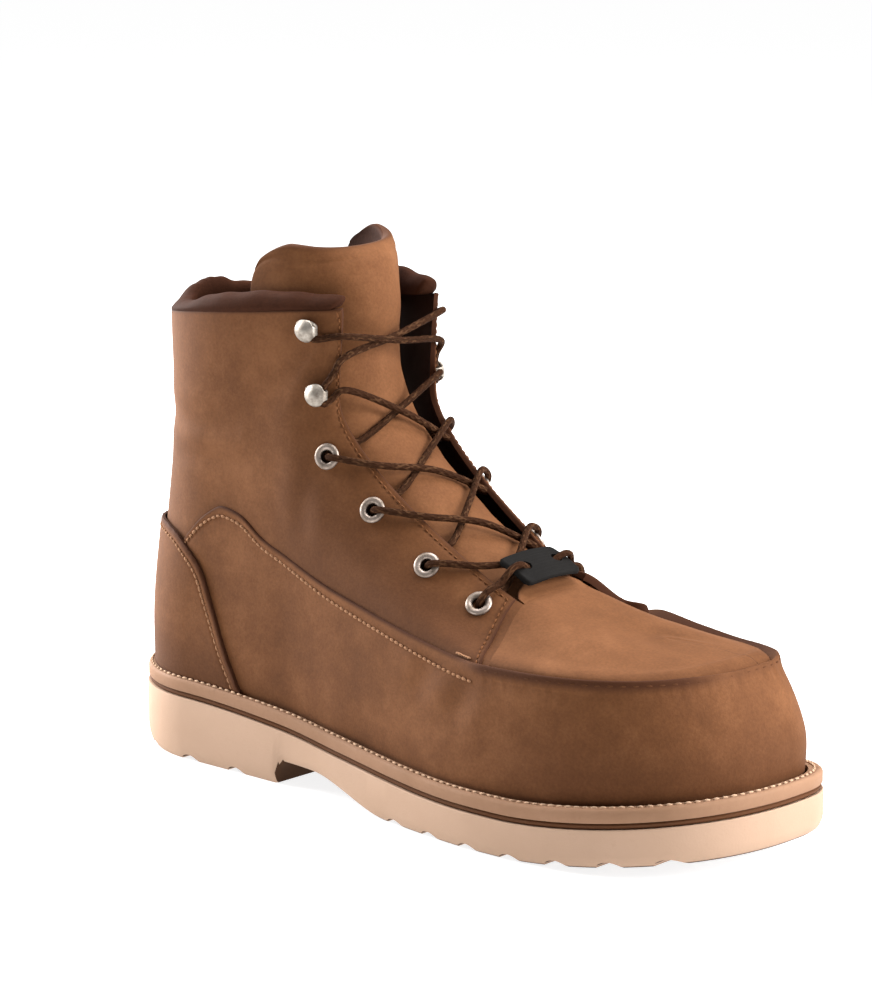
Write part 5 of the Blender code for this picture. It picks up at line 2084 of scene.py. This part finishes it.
    def bar_knots(self) -> list[Array]:
        """Knots of the lowest bar: over the tab's margins and under its middle."""
        _, out = self.keeper_axes()
        over = self.lace_radius * 2 + self.keeper_thick + 2 * GAP - 0.3
        knots = []
        for t in self.bar_stops:
            gap = abs(t - 2.0)
            rise = float(smooth(0.34, 0.48, gap)) * (1 - float(smooth(0.74, 0.98, gap)))
            knots.append(self.bar_point(t) + out * over * rise)
        return knots

    def build_lace(self) -> Piece:
        """The whole lace as one cord, swept along its route by a tree."""
        outer, inner = self.half_lace(Side.OUTER), self.half_lace(Side.INNER)
        knots = np.array([*reversed(outer), *self.bar_knots(), *inner])
        route = through(knots, np.linspace(0, len(knots) - 1, len(knots) * 12))
        tree = Tree("lace_sweep", Radius=0.0018, Step=self.lace_step)
        even = tree.even_path("Step")
        path_place = tree.node("GeometryNodeSplineParameter")
        keep_along = self.capture(tree, even.outputs[0], path_place.outputs["Length"])
        profile = tree.node("GeometryNodeCurvePrimitiveCircle", Resolution=12, Radius=tree.given("Radius"))
        ring_place = tree.node("GeometryNodeSplineParameter")
        keep_round = self.capture(tree, profile.outputs[0], ring_place.outputs["Factor"])
        solid = tree.node(
            "GeometryNodeCurveToMesh",
            Curve=keep_along.outputs[0],
            Profile_Curve=keep_round.outputs[0],
            Fill_Caps=True,
        )
        weave = tree.node("ShaderNodeCombineXYZ", X=keep_round.outputs[1], Y=keep_along.outputs[1], Z=0.0)
        stored = tree.node(
            "GeometryNodeStoreNamedAttribute",
            {"data_type": "FLOAT_VECTOR", "domain": "POINT"},
            Geometry=solid.outputs[0],
            Name="weave",
            Value=weave.outputs[0],
        )
        tree.close(stored.outputs[0])
        holder = paths_holder("lace", [route])
        return tree.run(holder, Radius=self.lace_radius * MM, Step=self.lace_step, Finish=self.finishes.lace)

    @staticmethod
    def capture(tree: Tree, geometry: Socket, value: Socket) -> bpy.types.Node:
        """A node that keeps a value on a curve's points."""
        node = tree.node("GeometryNodeCaptureAttribute", {"domain": "POINT"})
        node.capture_items.new("FLOAT", "place")
        tree.tree.links.new(geometry, node.inputs[0])
        tree.tree.links.new(value, node.inputs[1])
        return node

    def build_keeper(self) -> Piece:
        """Plain tab over the lowest bar, with rounded corners and a slot at each side for the lace."""
        along, out = self.keeper_axes()
        columns, rows = 61, 27
        grid = np.zeros((columns, rows, 3))
        for i, share in enumerate(np.linspace(-1.0, 1.0, columns)):
            centre = self.bar_point(2.0 + self.keeper_reach * float(share))
            centre = centre + out * (self.lace_radius + GAP + self.keeper_thick)
            near = float(np.clip((1 - abs(share)) / self.keeper_corner, 0.0, 1.0))
            short, rest = self.keeper_ends
            reach = self.keeper_length / 2 * (short + rest * math.sqrt(1 - (1 - near) ** 2))
            for j, place in enumerate(np.linspace(-1.0, 1.0, rows)):
                sag = self.keeper_sag * place * place
                grid[i, j] = centre + along * reach * place + out * sag
        nearest = np.minimum(to_border(grid, 0), to_border(grid, 1))
        outer = grid - out * rounding(nearest, 0.7)[..., None]
        waves = np.cos(arc(grid, 1) * 2 * math.pi / self.rib_pitch)
        ribs = self.rib_height * waves * smooth(*self.rib_margin, nearest)
        outer = outer + out * ribs[..., None]
        inner = grid - out * self.keeper_thick
        shade = np.zeros((columns, rows))
        piece = Sheet(outer, inner, shade, shade).build("keeper_tab", [self.finishes.keeper] * 2)
        axes = Matrix((along, np.cross(out, along), out)).transposed().to_4x4()
        rise = out * (self.lace_radius + GAP + self.keeper_thick / 2)
        slots = [
            Matrix.Translation(to_metres(self.bar_point(2.0 + side * self.slot_reach) + rise)) @ axes
            for side in (-1, 1)
        ]
        return drill(piece, slots, self.slot_radius, self.slot_depth)

    @staticmethod
    def names(label: str, holes: Sequence[Hole]) -> list[str]:
        """CAD nodes of one kind of fitting, the outer side's first."""
        return [f"{label}_{side}_{n}" for side in ("lat", "med") for n in range(1, len(holes) + 1)]

    def build(self) -> None:
        """Makes the fastening's pieces and attaches them."""
        attach(self.build_eyelets(), "nickel", *self.names("eyelet", EYELETS))
        attach(self.build_hooks(), "nickel", *self.names("hook", HOOKS))
        crossings = [f"lace_cross_{n}" for n in range(1, len(HOLES))]
        attach(self.build_lace(), "lace_brown", "lace_bar", *crossings)
        attach(self.build_keeper(), "keeper_grey", "lace_keeper")


# Studio


@dataclass
class Lamp:
    """A soft square light: where it stands, what it points at, its side and its power."""

    name: str
    place: tuple[float, float, float]
    side: float
    watts: float
    target: tuple[float, float, float] = (0.0, 0.0, 0.09)

    def build(self) -> None:
        """Adds the light."""
        data = bpy.data.lights.new(self.name, "AREA")
        data.size = self.side
        data.energy = self.watts
        made = bpy.data.objects.new(self.name, data)
        made.location = self.place
        way = Vector(self.target) - Vector(self.place)
        made.rotation_euler = way.to_track_quat("-Z", "Y").to_euler()
        bpy.context.scene.collection.objects.link(made)


@dataclass
class Studio:
    """Pale floor, soft lights and the camera."""

    finishes: Finishes
    azimuth: float = 41.7
    elevation: float = 11.7
    distance: float = 1.3
    lens: float = 121.68
    sensor: float = 36.0
    aim: tuple[float, float, float] = (-0.005, 0.0, 0.08)
    slide: tuple[float, float] = (-0.0046, 0.0334)
    floor_side: float = 40.0
    sky: float = 0.3
    lamps: tuple[Lamp, ...] = (
        Lamp("top", (0.05, 0.3, 1.5), 1.1, 35.0),
        Lamp("back_left", (-1.32, -0.12, 0.65), 1.0, 70.0),
        Lamp("front_right", (1.2, 0.6, 0.62), 0.8, 41.0),
    )

    def build_floor(self) -> None:
        """A large pale plane under the shoe."""
        half = self.floor_side / 2
        corners = [(-half, -half, 0.0), (half, -half, 0.0), (half, half, 0.0), (-half, half, 0.0)]
        data = bpy.data.meshes.new("floor")
        data.from_pydata(corners, [], [(0, 1, 2, 3)])
        new_object("floor", data, [self.finishes.floor])

    def build_camera(self) -> None:
        """The camera, at the photograph's view."""
        a, e = math.radians(self.azimuth), math.radians(self.elevation)
        back = Vector((math.sin(a) * math.cos(e), -math.cos(a) * math.cos(e), math.sin(e)))
        right = Vector((math.cos(a), math.sin(a), 0.0))
        up = back.cross(right)
        data = bpy.data.cameras.new("camera")
        data.lens = self.lens
        data.sensor_width = self.sensor
        data.clip_end = 50.0
        made = bpy.data.objects.new("camera", data)
        matrix = Matrix((right, up, back)).transposed().to_4x4()
        place = Vector(self.aim) + right * self.slide[0] + up * self.slide[1]
        matrix.translation = place + back * self.distance
        made.matrix_world = matrix
        bpy.context.scene.collection.objects.link(made)
        bpy.context.scene.camera = made

    def build_sky(self) -> None:
        """Even white surroundings."""
        world = bpy.data.worlds.new("studio")
        world.use_nodes = True
        node = world.node_tree.nodes["Background"]
        node.inputs["Color"].default_value = (1.0, 1.0, 1.0, 1.0)
        node.inputs["Strength"].default_value = self.sky
        bpy.context.scene.world = world
        bpy.context.scene.view_settings.view_transform = "Standard"

    def build(self) -> None:
        """Adds floor, lights, camera and surroundings."""
        self.build_floor()
        for lamp in self.lamps:
            lamp.build()
        self.build_camera()
        self.build_sky()


def dress_insole(nodes: dict[str, Piece], finishes: Finishes) -> None:
    """Gives the insole board, whose shape stays as it is, its finish."""
    data = nodes["insole"].data
    data.materials.clear()
    data.materials.append(finishes.board)


def main() -> None:
    """Builds the shoe's pieces in order, then the studio."""
    logging.basicConfig(level=logging.INFO, format="%(name)s %(message)s")
    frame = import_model()
    finishes = Finishes()
    last = Last()
    threads = Threads()
    Sole(last, finishes, threads).build()
    Upper(last, finishes, threads).build()
    Collar(last, finishes).build()
    fastening = Fastening(last, finishes)
    Tongue(last, finishes, pressed=fastening.crossings()).build()
    fastening.build()
    dress_insole(frame["nodes"], finishes)
    Studio(finishes).build()


if __name__ == "__main__":
    main()
